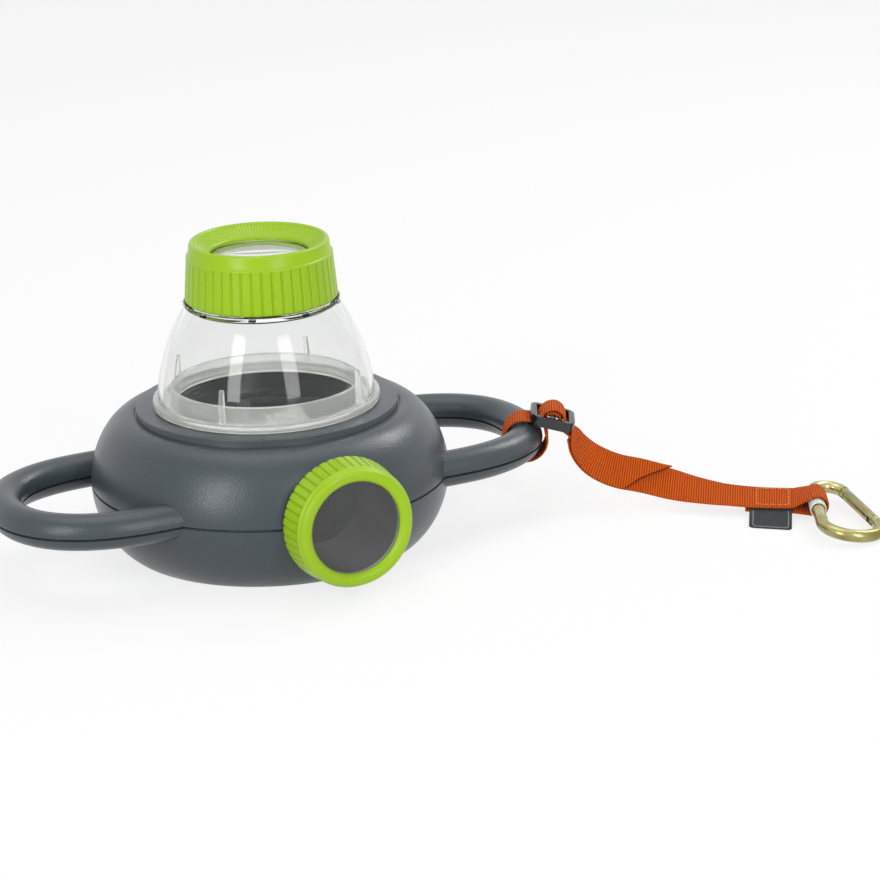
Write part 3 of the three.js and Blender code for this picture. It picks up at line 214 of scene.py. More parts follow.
def feed(look, value, socket):
    """Link a value to a socket of the material's shader."""
    tree = look.node_tree
    tree.links.new(value, tree.nodes["Principled BSDF"].inputs[socket])


def noise(look, scale, detail):
    """Noise over the object's own coordinates, in lumps of about 1/scale metres."""
    tree = look.node_tree
    place = tree.nodes.new("ShaderNodeTexCoord")
    texture = tree.nodes.new("ShaderNodeTexNoise")
    set_inputs(texture, Scale=scale, Detail=detail)
    tree.links.new(place.outputs["Object"], texture.inputs["Vector"])
    return texture.outputs["Fac"]


def vary_roughness(look, value, low, high):
    spread = map_range(
        look.node_tree, value, From_Min=NOISE_LOW, From_Max=NOISE_HIGH, To_Min=low, To_Max=high,
    )
    feed(look, spread, "Roughness")


def vary_colour(look, value, first, second, low=0.35, high=0.65):
    """Let a value lead the colour from a first one at low to a second one at high."""
    tree = look.node_tree
    ramp = tree.nodes.new("ShaderNodeValToRGB")
    for element, place, colour in zip(ramp.color_ramp.elements, (low, high), (first, second)):
        element.position = place
        element.color = colour
    tree.links.new(value, ramp.inputs["Fac"])
    feed(look, ramp.outputs["Color"], "Base Color")


def bump(look, value, strength, distance):
    """Relief by a value, on top of the relief that the material has already."""
    tree = look.node_tree
    node = tree.nodes.new("ShaderNodeBump")
    set_inputs(node, Strength=strength, Distance=distance)
    tree.links.new(value, node.inputs["Height"])
    earlier = tree.nodes["Principled BSDF"].inputs["Normal"].links
    if earlier:
        tree.links.new(earlier[0].from_socket, node.inputs["Normal"])
    feed(look, node.outputs["Normal"], "Normal")


def moulded(name, colour, roughness, grain, shine=0.5):
    """Moulded plastic: fine grain, slow change of gloss and a faint change of tone."""
    look = plain_material(name, colour, roughness, Specular_IOR_Level=shine)
    darker = (*(DARKER_TONE * c for c in colour[:3]), 1)
    vary_colour(look, noise(look, 14, 3), darker, colour)
    vary_roughness(look, noise(look, 55, 4), roughness - 0.05, roughness + 0.06)
    bump(look, noise(look, 1200, 2), grain, 0.0004)
    return look


def clear(name, colour, roughness, shade, through=1.0, ior=CLEAR_IOR):
    """Clear plastic that lets most of the light through to what is inside it."""
    look = plain_material(
        name, colour, roughness, IOR=ior, Transmission_Weight=through, Specular_IOR_Level=0.25,
    )
    tree = look.node_tree
    path = tree.nodes.new("ShaderNodeLightPath")
    passing = tree.nodes.new("ShaderNodeBsdfTransparent")
    set_inputs(passing, Color=(shade, shade, shade, 1))
    mix_in(tree, path.outputs["Is Shadow Ray"], passing)
    bump(look, noise(look, 9, 1), 0.05, 0.002)
    return look


BODY = moulded("body_plastic", linear(61, 70, 75), 0.3, 0.3)
GREEN = moulded("green_plastic", linear(159, 198, 18), 0.3, 0.05, 0.35)
DARK = moulded("dark_plastic", linear(22, 22, 22), 0.45, 0.01, 0.3)
# painted shade: the well's wall takes a darker copy of the dark plastic, for the shade deep in the
# well
WELL = moulded("well_shaded_plastic", linear(9, 9, 9), 0.24, 0.015, 0.35)
SEAT = moulded("seat_plastic", linear(150, 157, 152), 0.35, 0.02)
BUCKLE = moulded("buckle_plastic", linear(18, 19, 21), 0.13, 0.04, 0.7)
WHITE = moulded("white_plastic", linear(232, 232, 226), 0.4, 0.05)
CLEAR = clear("clear_plastic", (0.922, 0.925, 0.922, 1), 0.035, 0.9)
# the cloudiness is real; the faint yellow-green tint is a painted reflection of the green plastic
CLOUDY = clear("cloudy_plastic", (0.87, 0.88, 0.84, 1), 0.08, 0.8, 0.7)
LENS = clear("lens_plastic", (0.94, 0.945, 0.94, 1), 0.015, 0.92, ior=LENS_IOR)
MIRROR = plain_material("mirror_face", (0.5, 0.51, 0.5, 1), 0.05, Metallic=1.0)
STEEL = plain_material("steel", (0.5, 0.51, 0.53, 1), 0.32, Metallic=1.0)
GOLD = plain_material("gold_metal", linear(178, 171, 116), 0.3, Metallic=1.0)
bump(CLOUDY, noise(CLOUDY, 90, 3), 0.3, 0.003)
bump(MIRROR, noise(MIRROR, 6, 1), 0.03, 0.001)
vary_roughness(STEEL, noise(STEEL, 400, 3), 0.26, 0.42)
vary_roughness(GOLD, noise(GOLD, 160, 4), 0.22, 0.36)
# painted reflection: the tone wanders at random to dark olive patches that stand in for reflected
# streaks on the wire
vary_colour(GOLD, noise(GOLD, 60, 3), linear(136, 128, 72), linear(184, 178, 128), 0.3, 0.6)


def weave_material(name, colour, dark, pitch):
    """Webbing: height and painted shade follow the threads by the two coordinates of its own map.
    """
    look = plain_material(
        name, colour, 0.85, Sheen_Weight=0.05, Sheen_Roughness=0.4, Specular_IOR_Level=0.15,
    )
    tree = look.node_tree
    place = tree.nodes.new("ShaderNodeUVMap")
    place.uv_map = THREAD_MAP
    split = tree.nodes.new("ShaderNodeSeparateXYZ")
    tree.links.new(place.outputs["UV"], split.inputs["Vector"])

    def wave(socket, turns, height):
        angle = math_node(tree, "MULTIPLY", socket, turns * TAU)
        return math_node(tree, "MULTIPLY", math_node(tree, "COSINE", angle), height)

    across = wave(split.outputs["X"], 1.6, 0.22)
    along = wave(split.outputs["Y"], 1 / pitch, 0.42)
    fuzz = math_node(tree, "MULTIPLY", noise(look, 900, 4), 0.35)
    threads = math_node(tree, "ADD", math_node(tree, "ADD", across, along), 0.5)
    height = math_node(tree, "ADD", threads, fuzz)
    # painted shade: the colour turns darker where the weave lies low
    vary_colour(look, height, dark, colour, 0.1, 0.95)
    bump(look, height, 0.7, 0.00022)
    return look


# the second colour of each weave is painted shade for the hollows between its threads
WEBBING = weave_material("webbing", linear(222, 98, 24), linear(118, 38, 6), RIB_PITCH)
LABEL = weave_material("label_fabric", linear(70, 73, 75), linear(44, 46, 48), 0.5)
THREAD = plain_material("thread", linear(226, 128, 62), 0.7, Sheen_Weight=0.3)
BORDER = plain_material("label_thread", linear(128, 131, 132), 0.75, Sheen_Weight=0.2)
bump(THREAD, noise(THREAD, 3000, 2), 0.3, 0.0001)
bump(BORDER, noise(BORDER, 2500, 2), 0.4, 0.0001)
SINGED = moulded("singed_edge", linear(92, 34, 16), 0.6, 0.3)


# Shapes

def add_mesh(name, vertices, faces):
    """Mesh object in millimetres with its faces turned outward."""
    mesh = bpy.data.meshes.new(name)
    mesh.from_pydata([tuple(v) for v in vertices], [], faces)
    volume = 0
    for polygon in mesh.polygons:
        corners = [mesh.vertices[i].co for i in polygon.vertices]
        for i in range(1, len(corners) - 1):
            volume += corners[0].dot(corners[i].cross(corners[i + 1]))
    if volume < 0:
        mesh.flip_normals()
    return add_object(name, mesh)


def turned(name, profile, columns=120, ring=False, place=None):
    """Turned solid from rows of (radius, height[, groove depth, count, half width]).

    The half width is the part of the way from one groove to the next.
    """
    vertices = []
    rows = []
    for radius, height, *groove in profile:
        depth, count, half = groove if groove else (0, 1, 1)
        if radius < 1e-6:
            rows.append([len(vertices)] * columns)
            vertices.append(Vector((0, 0, height)))
            continue
        rows.append([len(vertices) + k for k in range(columns)])
        for k in range(columns):
            share = (k / columns * count + 0.5) % 1 - 0.5
            cut = max(0.0, 1 - (share / half) ** 2)
            r = radius - depth * cut
            angle = TAU * k / columns
            vertices.append(Vector((r * math.cos(angle), r * math.sin(angle), height)))
    after = rows[1:] + ([rows[0]] if ring else [])
    faces = []
    for low, high in zip(rows, after):
        for k in range(columns):
            n = (k + 1) % columns
            face = list(dict.fromkeys((low[k], low[n], high[n], high[k])))
            if len(face) > 2:
                faces.append(face)
    if place:
        vertices = [place @ v for v in vertices]
    return add_mesh(name, vertices, faces)


def cylinder(name, radius, low, high, columns=120, place=None):
    return turned(name, [(0, low), (radius, low), (radius, high), (0, high)], columns, place=place)


def flat_ring(name, inner, outer, low, high, place=None):
    rows = [(inner, low), (outer, low), (outer, high), (inner, high)]
    return turned(name, rows, ring=True, place=place)


def rounded_pin(name, radius, low, high, edge, columns, place, bore=0):
    """Pin or tube whose outer edges are sloped a little."""
    return turned(name, [
        (bore, low), (radius - edge, low), (radius, low + edge),
        (radius, high - edge), (radius - edge, high), (bore, high),
    ], columns, ring=bore > 0, place=place)


def circle(centre, radius, first, second, count):
    """Points round a centre, in the plane of two directions."""
    angles = [TAU * k / count for k in range(count)]
    return [centre + radius * (math.cos(a) * first + math.sin(a) * second) for a in angles]


def skin(rows, sides, start=0):
    """Faces over rows of vertices that follow one another, closed at both ends."""
    last = start + sides * (rows - 1)
    faces = []
    for low in range(start, last, sides):
        for k in range(sides):
            a, b = low + k, low + (k + 1) % sides
            faces.append((a, b, b + sides, a + sides))
    return [*faces, tuple(reversed(range(start, start + sides))), tuple(range(last, last + sides))]


def lofted(name, rings, place=None):
    """Skin over equal rings of points, closed at both ends."""
    vertices = [place @ v if place else v for ring in rings for v in ring]
    return add_mesh(name, vertices, skin(len(rings), len(rings[0])))


def rod(name, path, radius, sides, place):
    """Round rod along points in a level plane."""
    rings = []
    for i, point in enumerate(path):
        before = path[max(i - 1, 0)]
        after = path[min(i + 1, len(path) - 1)]
        side = (after - before).normalized().cross(UP)
        rings.append(circle(point, radius, side, UP, sides))
    return lofted(name, rings, place)


def block(name, low, high, place=None):
    (x0, y0, z0), (x1, y1, z1) = low, high
    corners = ((x0, y0), (x1, y0), (x1, y1), (x0, y1))
    rings = [[Vector((x, y, z)) for x, y in corners] for z in (z0, z1)]
    return lofted(name, rings, place)


def bake_modifiers(obj):
    """Make the shape that the modifiers give the object's own mesh."""
    graph = bpy.context.evaluated_depsgraph_get()
    mesh = bpy.data.meshes.new_from_object(obj.evaluated_get(graph))
    obj.modifiers.clear()
    old = obj.data
    obj.data = mesh
    bpy.data.meshes.remove(old)


def combine_solids(target, tools, operation):
    """Join, cut or intersect solids one after another, and drop the tools."""
    for tool in tools:
        modifier = target.modifiers.new("solid", "BOOLEAN")
        modifier.operation = operation
        modifier.solver = "MANIFOLD"
        modifier.object = tool
    bake_modifiers(target)
    for tool in tools:
        bpy.data.meshes.remove(tool.data)
    return target


def bevel(obj, width, segments, angle=35):
    modifier = obj.modifiers.new("edges", "BEVEL")
    modifier.width = width
    modifier.segments = segments
    modifier.limit_method = "ANGLE"
    modifier.angle_limit = math.radians(angle)
    bake_modifiers(obj)


def dress(obj, look, body, slot, *nodes, sharp=35):
    """Bring a shape to metres, shade it, hang it on what it rides on, and hide the pieces it stands
    for.
    """
    obj.data.transform(Matrix.Scale(0.001, 4))
    obj.data.materials.clear()
    obj.data.materials.append(look)
    obj.data.shade_smooth()
    obj.data.set_sharp_from_angle(angle=math.radians(sharp))
    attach(obj, body)
    if nodes:
        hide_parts(*nodes)
    return obj


def cloud_faces(obj, chosen):
    """Give the cloudy plastic to the faces of a dressed piece whose middle, in mm, is chosen."""
    obj.data.materials.append(CLOUDY)
    for polygon in obj.data.polygons:
        if chosen(1000 * polygon.center):
            polygon.material_index = 1


def shares(steps):
    """Equal shares of a line, from 0 to 1."""
    return [i / steps for i in range(steps + 1)]


def bezier(a, b, c, d, steps):
    """Points on a curve in the (radius, height) plane, from a to d."""
    points = []
    for t in shares(steps):
        u = 1 - t
        weights = (u ** 3, 3 * u * u * t, 3 * u * t * t, t ** 3)
        points.append(tuple(
            sum(w * p[k] for w, p in zip(weights, (a, b, c, d))) for k in range(2)
        ))
    return points


def arc(centre, radius, start, end, steps):
    """Points on an arc in the (radius, height) plane, by angles in degrees."""
    x, y = centre
    angles = [math.radians(start + (end - start) * share) for share in shares(steps)]
    return [(x + radius * math.cos(a), y + radius * math.sin(a)) for a in angles]


# Housing

BODY_RADIUS = 82
BASE_RADIUS = 66.8
SHOULDER_RADIUS = 61.5
STEP_RADIUS = 59.8
SEAM_HEIGHT = 31.6
SHOULDER_HEIGHT = 63
DECK_HEIGHT = 66
HOUSING_WALL = 2.4
GROOVE_WIDTH = 1.1
GROOVE_DEPTH = 0.9
HANDLE_HEIGHT = 32.8
HANDLE_RADIUS = 8.2
HANDLE_HALF_SPREAD = 43.2
HANDLE_ROOT = 50
HANDLE_STRAIGHT_END = 74
HANDLE_BOW = 52
HANDLE_SQUARENESS = 2.27
HANDLE_STEPS = 72
WELL_RADIUS = 47.2
WELL_LIP_RADIUS = 43
WELL_LIP_HEIGHT = 50
REBATE_RADIUS = 49.9
REBATE_FLOOR = 62.5
PORT_HEIGHT = 32.8
TUBE_RADIUS = 23.5
TUBE_BORE = 21.3
BOSS_START = 64
BOSS_END = 79.2
BOSS_WALL = 1.3
RECESS_RADIUS = 29.4
PORT_END = 94
POST_RADIUS = 4.3
POST_TOP = 60
SCREW_CIRCLE = 60
HEAD_BORE = 3.1
THREAD_BORE = 1.7
THREAD_BORE_TOP = 38.4
SPLIT_REACH = 150
HANDLE_TIP = HANDLE_STRAIGHT_END + HANDLE_BOW
TO_PORT = Matrix.Translation((0, 0, PORT_HEIGHT)) @ turn_about("X", 90)


def lower_outline(inset, steps):
    base = BASE_RADIUS - 0.4 * inset
    rim = BODY_RADIUS - inset
    rise = SEAM_HEIGHT - inset
    return bezier(
        (base, inset), (base + 0.5 * (rim - base), inset + 0.15 * rise),
        (rim, inset + 0.54 * rise), (rim, SEAM_HEIGHT), steps,
    )


def upper_outline(inset, steps):
    rim = BODY_RADIUS - inset
    top = SHOULDER_HEIGHT - inset
    rise = top - SEAM_HEIGHT
    return bezier(
        (rim, SEAM_HEIGHT), (rim, SEAM_HEIGHT + 0.46 * rise),
        (SHOULDER_RADIUS + 0.56 * (rim - SHOULDER_RADIUS), top), (SHOULDER_RADIUS, top), steps,
    )


def handle_path():
    """Middle line of the right handle, from inside the body out and back in."""
    power = 2 / HANDLE_SQUARENESS
    sweep = 0.9999 * math.pi  # short of a half turn, where the cosine could fall below 0
    points = [Vector((HANDLE_ROOT, -HANDLE_HALF_SPREAD, HANDLE_HEIGHT))]
    for share in shares(HANDLE_STEPS):
        angle = sweep * (share - 0.5)
        along = math.cos(angle) ** power
        across = math.copysign(abs(math.sin(angle)) ** power, math.sin(angle))
        points.append(Vector((
            HANDLE_STRAIGHT_END + HANDLE_BOW * along, HANDLE_HALF_SPREAD * across, HANDLE_HEIGHT,
        )))
    points.append(Vector((HANDLE_ROOT, HANDLE_HALF_SPREAD, HANDLE_HEIGHT)))
    return points


def handles(radius):
    return [
        rod("handle", handle_path(), radius, 32, place)
        for place in (Matrix.Identity(4), Matrix.Rotation(math.pi, 4, "Z"))
    ]


BASE_SCREWS = [
    (SCREW_CIRCLE * math.cos(angle), SCREW_CIRCLE * math.sin(angle), SEAM_HEIGHT - 12)
    for angle in map(math.radians, (45, 135, 225, 315))
]
HANDLE_SCREWS = [(side * HANDLE_TIP, 0, SEAM_HEIGHT - 4) for side in (1, -1)]


def screw_hole(mouth, x, y, seat):
    """Hole from the rows of its mouth up to the seat of the head, with a bore for the thread."""
    return turned("hole", [
        *mouth, (HEAD_BORE, seat), (THREAD_BORE, seat), (THREAD_BORE, THREAD_BORE_TOP),
        (0, THREAD_BORE_TOP),
    ], 32, place=Matrix.Translation((x, y, 0)))


def whole_housing():
    crown = [
        (STEP_RADIUS + 1.1, SHOULDER_HEIGHT - 0.05), (STEP_RADIUS + 0.8, SHOULDER_HEIGHT - 0.45),
        (STEP_RADIUS + 0.1, SHOULDER_HEIGHT - 0.45), (STEP_RADIUS, SHOULDER_HEIGHT - 0.2),
        *arc((STEP_RADIUS - 0.4, DECK_HEIGHT - 0.4), 0.4, 0, 90, 5),
    ]
    housing = turned("housing", [
        (0, 0), (BASE_RADIUS - 1.2, 0), *lower_outline(0, 26), *upper_outline(0, 30)[1:],
        *crown, (0, DECK_HEIGHT),
    ], 200)
    ceiling, floor = DECK_HEIGHT - HOUSING_WALL, REBATE_FLOOR - HOUSING_WALL
    rebate, well_wall = REBATE_RADIUS + HOUSING_WALL, WELL_RADIUS + HOUSING_WALL
    hollow = turned("hollow", [
        (0, HOUSING_WALL), *lower_outline(HOUSING_WALL, 8), *upper_outline(HOUSING_WALL, 10)[1:],
        (STEP_RADIUS - HOUSING_WALL, ceiling), (rebate, ceiling), (rebate, floor),
        (well_wall, floor), (well_wall, WELL_LIP_HEIGHT), (0, WELL_LIP_HEIGHT),
    ])
    posts = [
        cylinder("post", POST_RADIUS, 0.5, POST_TOP, 24, Matrix.Translation((x, y, 0)))
        for x, y, _ in BASE_SCREWS
    ]
    port = TUBE_RADIUS + GAP
    recess = cylinder("recess", RECESS_RADIUS, BOSS_END, PORT_END, place=TO_PORT)
    boss = cylinder("boss", port + BOSS_WALL, BOSS_START, BOSS_END, place=TO_PORT)
    well = turned("well", [
        (0, 49), (WELL_LIP_RADIUS, 49), (WELL_LIP_RADIUS, 52), (WELL_RADIUS, 52),
        (WELL_RADIUS, REBATE_FLOOR), (REBATE_RADIUS, REBATE_FLOOR), (REBATE_RADIUS, 67), (0, 67),
    ], 160)
    bore = cylinder("bore", port, BOSS_START - 1, PORT_END, place=TO_PORT)
    base_mouth = [(0, -1), (HEAD_BORE + 0.2, -1), (HEAD_BORE + 0.2, 0), (HEAD_BORE, 0.3)]
    handle_mouth = [(0, 20), (HEAD_BORE, 20)]
    holes = [screw_hole(base_mouth, *spot) for spot in BASE_SCREWS]
    holes += [screw_hole(handle_mouth, *spot) for spot in HANDLE_SCREWS]
    for operation, tools in (
        ("UNION", handles(HANDLE_RADIUS)), ("DIFFERENCE", [hollow]), ("UNION", posts),
        ("DIFFERENCE", [recess]), ("UNION", [boss]), ("DIFFERENCE", [well, bore, *holes]),
    ):
        combine_solids(housing, tools, operation)
    return housing


def slab(name, low, high):
    """Level slab that is wider than the housing, to split it with."""
    return block(name, (-SPLIT_REACH, -SPLIT_REACH, low), (SPLIT_REACH, SPLIT_REACH, high))


def seam_groove():
    low = SEAM_HEIGHT - GROOVE_WIDTH / 2
    high = SEAM_HEIGHT + GROOVE_WIDTH / 2
    core = cylinder("core", BODY_RADIUS - GROOVE_DEPTH, low - 1, high + 1, 200)
    combine_solids(core, handles(HANDLE_RADIUS - GROOVE_DEPTH), "UNION")
    return combine_solids(slab("groove", low, high), [core], "DIFFERENCE")


def add_housing():
    lower = combine_solids(whole_housing(), [seam_groove()], "DIFFERENCE")
    upper = add_object("housing_top", lower.data.copy())
    lower.name = "housing_bottom"
    combine_solids(lower, [slab("low", -2, SEAM_HEIGHT - GAP / 2)], "INTERSECT")
    combine_solids(upper, [slab("high", SEAM_HEIGHT + GAP / 2, 70)], "INTERSECT")
    dress(lower, BODY, "housing", "housing", "lower_shell", sharp=28)
    dress(upper, BODY, "housing", "housing", "upper_shell", sharp=28)


add_housing()


# Specimen well, cup and mirror

WALL_LOW = 52.3
WALL_HIGH = 66.0
WALL_RADIUS = 46.9
WELL_THREADS = 5
THREAD_ROOT = 44.6
# radius, share of the pitch
THREAD_SHAPE = ((THREAD_ROOT, 0), (44.2, 0.18), (43.9, 0.4), (44.2, 0.62), (THREAD_ROOT, 0.8))
# radius, height
CUP_PROFILE = (
    (0, 52.6), (42.9, 52.6), (43.4, 53.1), (43.4, 66.3), (46.3, 66.3), (46.6, 66.6), (46.6, 67.6),
    (46.3, 67.9), (43.7, 67.9), (43.4, 68.2), (43.4, 75.5), (43.0, 75.9), (42.0, 75.9),
    (41.6, 75.5), (41.6, 55.4), (40.6, 54.4), (0, 54.4),
)
CUP_CLOUDY_FROM = 66.2
CUP_CLOUDY_BEYOND = 41


def add_well():
    low, high = WALL_LOW, WALL_HIGH
    pitch = (high - low - 2.4) / WELL_THREADS
    inside = []
    for i in range(WELL_THREADS):
        top = high - 1.2 - i * pitch
        inside += [(radius, top - share * pitch) for radius, share in THREAD_SHAPE]
    wall = turned("well_wall", [
        (WALL_RADIUS, low), (WALL_RADIUS, high - 0.4), (WALL_RADIUS - 0.4, high),
        (THREAD_ROOT + 0.3, high), (THREAD_ROOT, high - 0.4), *inside, (THREAD_ROOT, low),
    ], 144, ring=True)
    dress(wall, WELL, "housing", "dark_plastic", "chamber_wall")
    cup = turned("cup", CUP_PROFILE, 144)
    dress(cup, CLEAR, "housing", "clear", "chamber_cup")
    cloud_faces(cup, lambda s: s.z > CUP_CLOUDY_FROM and s.xy.length > CUP_CLOUDY_BEYOND)


add_well()

for node, look in (("mirror", MIRROR), ("mirror_bracket", DARK)):
    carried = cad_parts[node]
    carried.data.materials.clear()
    carried.data.materials.append(look)


# Dome

DOME_FOOT = 69.5
DOME_TOP = 112.6
DOME_WALL = 2.2
FOOT_RADIUS = 49.5
TOP_RADIUS = 35
# radius, height: the foot below the bell, and the collar and neck above it
DOME_FOOT_PROFILE = (
    (47.3, 62.8), (49.3, 62.8), (49.6, 63.1), (49.6, 66.3), (51.5, 66.3), (51.8, 66.6),
    (51.8, 68.8), (51.6, 69.3), (51.2, 69.5),
)
DOME_NECK_PROFILE = (
    (35.1, 112.6), (35.2, 112.7), (35.4, 113.0), (35.4, 114.5), (35.1, 114.8), (31.0, 114.8),
    (30.6, 115.2), (30.6, 129.2), (30.3, 129.5), (28.4, 129.5), (28.4, 112.6),
)
RIBS = 4
RIB_START = 41.5
RIB_SIDE = ((44.2, 68.5), (48.4, 68.5), (47.6, 83.0), (46.9, 84.0), (44.7, 84.0), (44.2, 83.4))
RIB_TOP = 84.0
TABS = 9
TAB_LOW = (32, -1.5, 113.2)
TAB_HIGH = (36.5, 1.5, 114.4)


def bell(inset, steps):
    """Outline of the dome's wall, from the foot to the collar."""
    rise = DOME_TOP - DOME_FOOT
    lean = FOOT_RADIUS - TOP_RADIUS
    return bezier(
        (FOOT_RADIUS - inset, DOME_FOOT),
        (FOOT_RADIUS - inset - 0.05 * lean, DOME_FOOT + 0.335 * rise),
        (TOP_RADIUS - inset + 0.59 * lean, DOME_FOOT + 0.695 * rise - 0.4 * inset),
        (TOP_RADIUS - inset, DOME_TOP - 0.6 * inset), steps,
    )


def bell_radius(height):
    """Outer radius of the dome at a height."""
    points = bell(0, 40)
    for (r1, z1), (r2, z2) in zip(points, points[1:]):
        if z1 <= height <= z2:
            return r1 + (r2 - r1) * (height - z1) / (z2 - z1)
    return FOOT_RADIUS


def add_dome():
    dome = turned("dome_shell", [
        *DOME_FOOT_PROFILE, *bell(0, 28)[:-1], *DOME_NECK_PROFILE, *reversed(bell(DOME_WALL, 24)),
    ], 160, ring=True)
    side = [[Vector((r, y, z)) for r, z in RIB_SIDE] for y in (-1, 1)]
    ribs = [lofted("rib", side, turn_about("Z", RIB_START + 360 * i / RIBS)) for i in range(RIBS)]
    tabs = [block("tab", TAB_LOW, TAB_HIGH, turn_about("Z", 360 * i / TABS)) for i in range(TABS)]
    combine_solids(dome, ribs + tabs, "UNION")
    dress(dome, CLEAR, "dome", "clear", "dome")

    def foot_or_rib(spot):
        inside = spot.xy.length < bell_radius(spot.z) - DOME_WALL - 0.15
        return spot.z < DOME_FOOT + 0.1 or (spot.z < RIB_TOP + 0.2 and inside)

    cloud_faces(dome, foot_or_rib)


add_dome()


# Eyepieces

GRIP_RIBS = 45
CAP_LOW = 115.05
CAP_GRIP_TOP = 135.7
CAP_BORE = 30.9
GRIP_COLUMNS = 24 * GRIP_RIBS
# radius, height: the rounded rim, the cone inside it with its relief, and the eye and lens pocket
CAP_RIM = (
    (32.5, 135.85), (32.3, 136.2), (31.75, 140.4), (31.6, 141.0), (31.3, 141.45), (30.8, 141.75),
    (30.3, 141.8), (29.95, 141.7), (29.6, 141.35),
)
CAP_CONE = ((29.2, 141.05, 0.1), (29.0, 140.92, 0.45), (26.0, 138.95, 0.45), (23.4, 137.3, 0.4))
CAP_CONE_RIBS = 120
CAP_EYE = (
    (22.9, 137.0), (22.5, 136.6), (22.3, 136.3), (22.3, 135.3), (24.0, 135.3), (24.0, 131.55),
    (CAP_BORE, 131.55),
)
BEZEL_BACK = 79.6
BEZEL_BORE = 23.8
BEZEL_GRIP_FRONT = 93.2
BEZEL_FACE = (
    (27.1, 93.35), (26.9, 93.7), (26.75, 94.5), (26.5, 95.2), (26.1, 95.7), (25.6, 96.08),
    (24.9, 96.2), (23.2, 96.15), (22.5, 95.9), (21.9, 95.4), (21.4, 94.8), (21.1, 94.2),
    (21.1, 93.7), (22.9, 93.9), (22.9, 91.75), (BEZEL_BORE, 91.75),
)
# inner and outer radius, back, front
TOP_SEAT = (22.6, 30.3, 130.1, 131.4)
SIDE_SEAT = (21.2, TUBE_RADIUS, 90.3, 91.6)
LENS_STEP = 1.2
# radius, back, straight edge, bulge
TOP_LENS = (23.7, 131.7, 3.3, 2.6)
SIDE_LENS = (22.6, 91.9, 1.4, 1.5)
TUBE_PROFILE = (
    (TUBE_BORE, 51), (TUBE_RADIUS, 51), (TUBE_RADIUS, 61.7), (25.8, 61.7), (25.8, 63.7),
    (TUBE_RADIUS, 63.7), (TUBE_RADIUS, 90), (TUBE_BORE, 90),
)


def grip_rows(radius_low, radius_high, low, high):
    """Rows up a grip: a small round at the foot, and grooves that run out near the top."""
    rows = [(radius_low - 0.5, low, 0.4), (radius_low - 0.1, low + 0.4, 0.7)]
    for share in shares(6):
        height = low + 1 + share * (high - low - 3.0)
        rows.append((radius_low + share * (radius_high - radius_low), height, 0.8))
    rows += [
        (radius_high, high - 1.5, 0.65),
        (radius_high, high - 1.1, 0.25),
        (radius_high, high - 0.8, 0),
        (radius_high - 0.05, high - 0.3, 0),
        (radius_high - 0.3, high, 0),
    ]
    return [(*row, GRIP_RIBS, 0.14) for row in rows]


def add_cap():
    cap = turned("top_eyepiece", [
        (CAP_BORE, CAP_LOW), *grip_rows(34.7, 33.2, CAP_LOW, CAP_GRIP_TOP), *CAP_RIM,
        *((radius, height, -relief, CAP_CONE_RIBS, 0.3) for radius, height, relief in CAP_CONE),
        *CAP_EYE,
    ], GRIP_COLUMNS, ring=True)
    dress(cap, GREEN, "top_cap", "green", "top_cap", sharp=50)
    seat = flat_ring("top_lens_seat", *TOP_SEAT)
    dress(seat, DARK, "top_lens_holder", "dark_plastic", "top_lens_ring")


def lens(name, radius, low, edge, bulge, place=None):
    """Lens with a flat back, a straight edge, a small step and a crown that bulges."""
    rim = radius - LENS_STEP
    crown = [(rim * (1 - s), low + edge + bulge * (1 - (1 - s) ** 2)) for s in shares(20)]
    return turned(name, [(0, low), (radius, low), (radius, low + edge), *crown], place=place)


def add_bezel():
    bezel = turned("side_eyepiece", [
        (BEZEL_BORE, BEZEL_BACK), *grip_rows(28.7, 27.6, BEZEL_BACK, BEZEL_GRIP_FRONT), *BEZEL_FACE,
    ], GRIP_COLUMNS, ring=True, place=TO_PORT)
    dress(bezel, GREEN, "side_bezel", "green", "side_bezel", sharp=50)
    seat = flat_ring("side_lens_seat", *SIDE_SEAT, TO_PORT)
    dress(seat, SEAT, "side_lens_holder", "dark_plastic", "side_lens_ring")
    tube = turned("view_tube", TUBE_PROFILE, ring=True, place=TO_PORT)
    dress(tube, DARK, "housing", "dark_plastic", "side_tube")


add_cap()
add_bezel()
for side, values in (("top", TOP_LENS), ("side", (*SIDE_LENS, TO_PORT))):
    glass = lens(f"{side}_magnifier", *values)
    dress(glass, LENS, f"{side}_lens_holder", "lens", f"{side}_lens")


# Screws

SCREW_SHANK = 1.4
SCREW_TIP = 38.1
# radius, height from the seat
SCREW_HEAD = ((0, -2), (1.6, -1.95), (2.3, -1.7), (2.7, -1.2), (2.8, -0.7), (2.8, 0))
CROSS_REACH = 1.5
CROSS_HALF_WIDTH = 0.28


def add_screw(name, node, x, y, seat):
    """Screw from below with a round head and a cross slot."""
    under = seat - GAP
    place = Matrix.Translation((x, y, 0))
    screw = turned(name, [
        *((radius, under + height) for radius, height in SCREW_HEAD), (SCREW_SHANK, under),
        (SCREW_SHANK, SCREW_TIP - 1.5), (0, SCREW_TIP),
    ], 40, place=place)
    arms = ((CROSS_REACH, CROSS_HALF_WIDTH), (CROSS_HALF_WIDTH, CROSS_REACH))
    cuts = [block("cut", (-a, -b, under - 3), (a, b, under - 1.0), place) for a, b in arms]
    combine_solids(screw, cuts, "DIFFERENCE")
    dress(screw, STEEL, "housing", "screws", node)


for kind, spots in (("base", BASE_SCREWS), ("handle", HANDLE_SCREWS)):
    for number, spot in enumerate(spots, 1):
        add_screw(f"{kind}_fixing_{number}", f"{kind}_screw_{number}", *spot)


# Slider and webbing

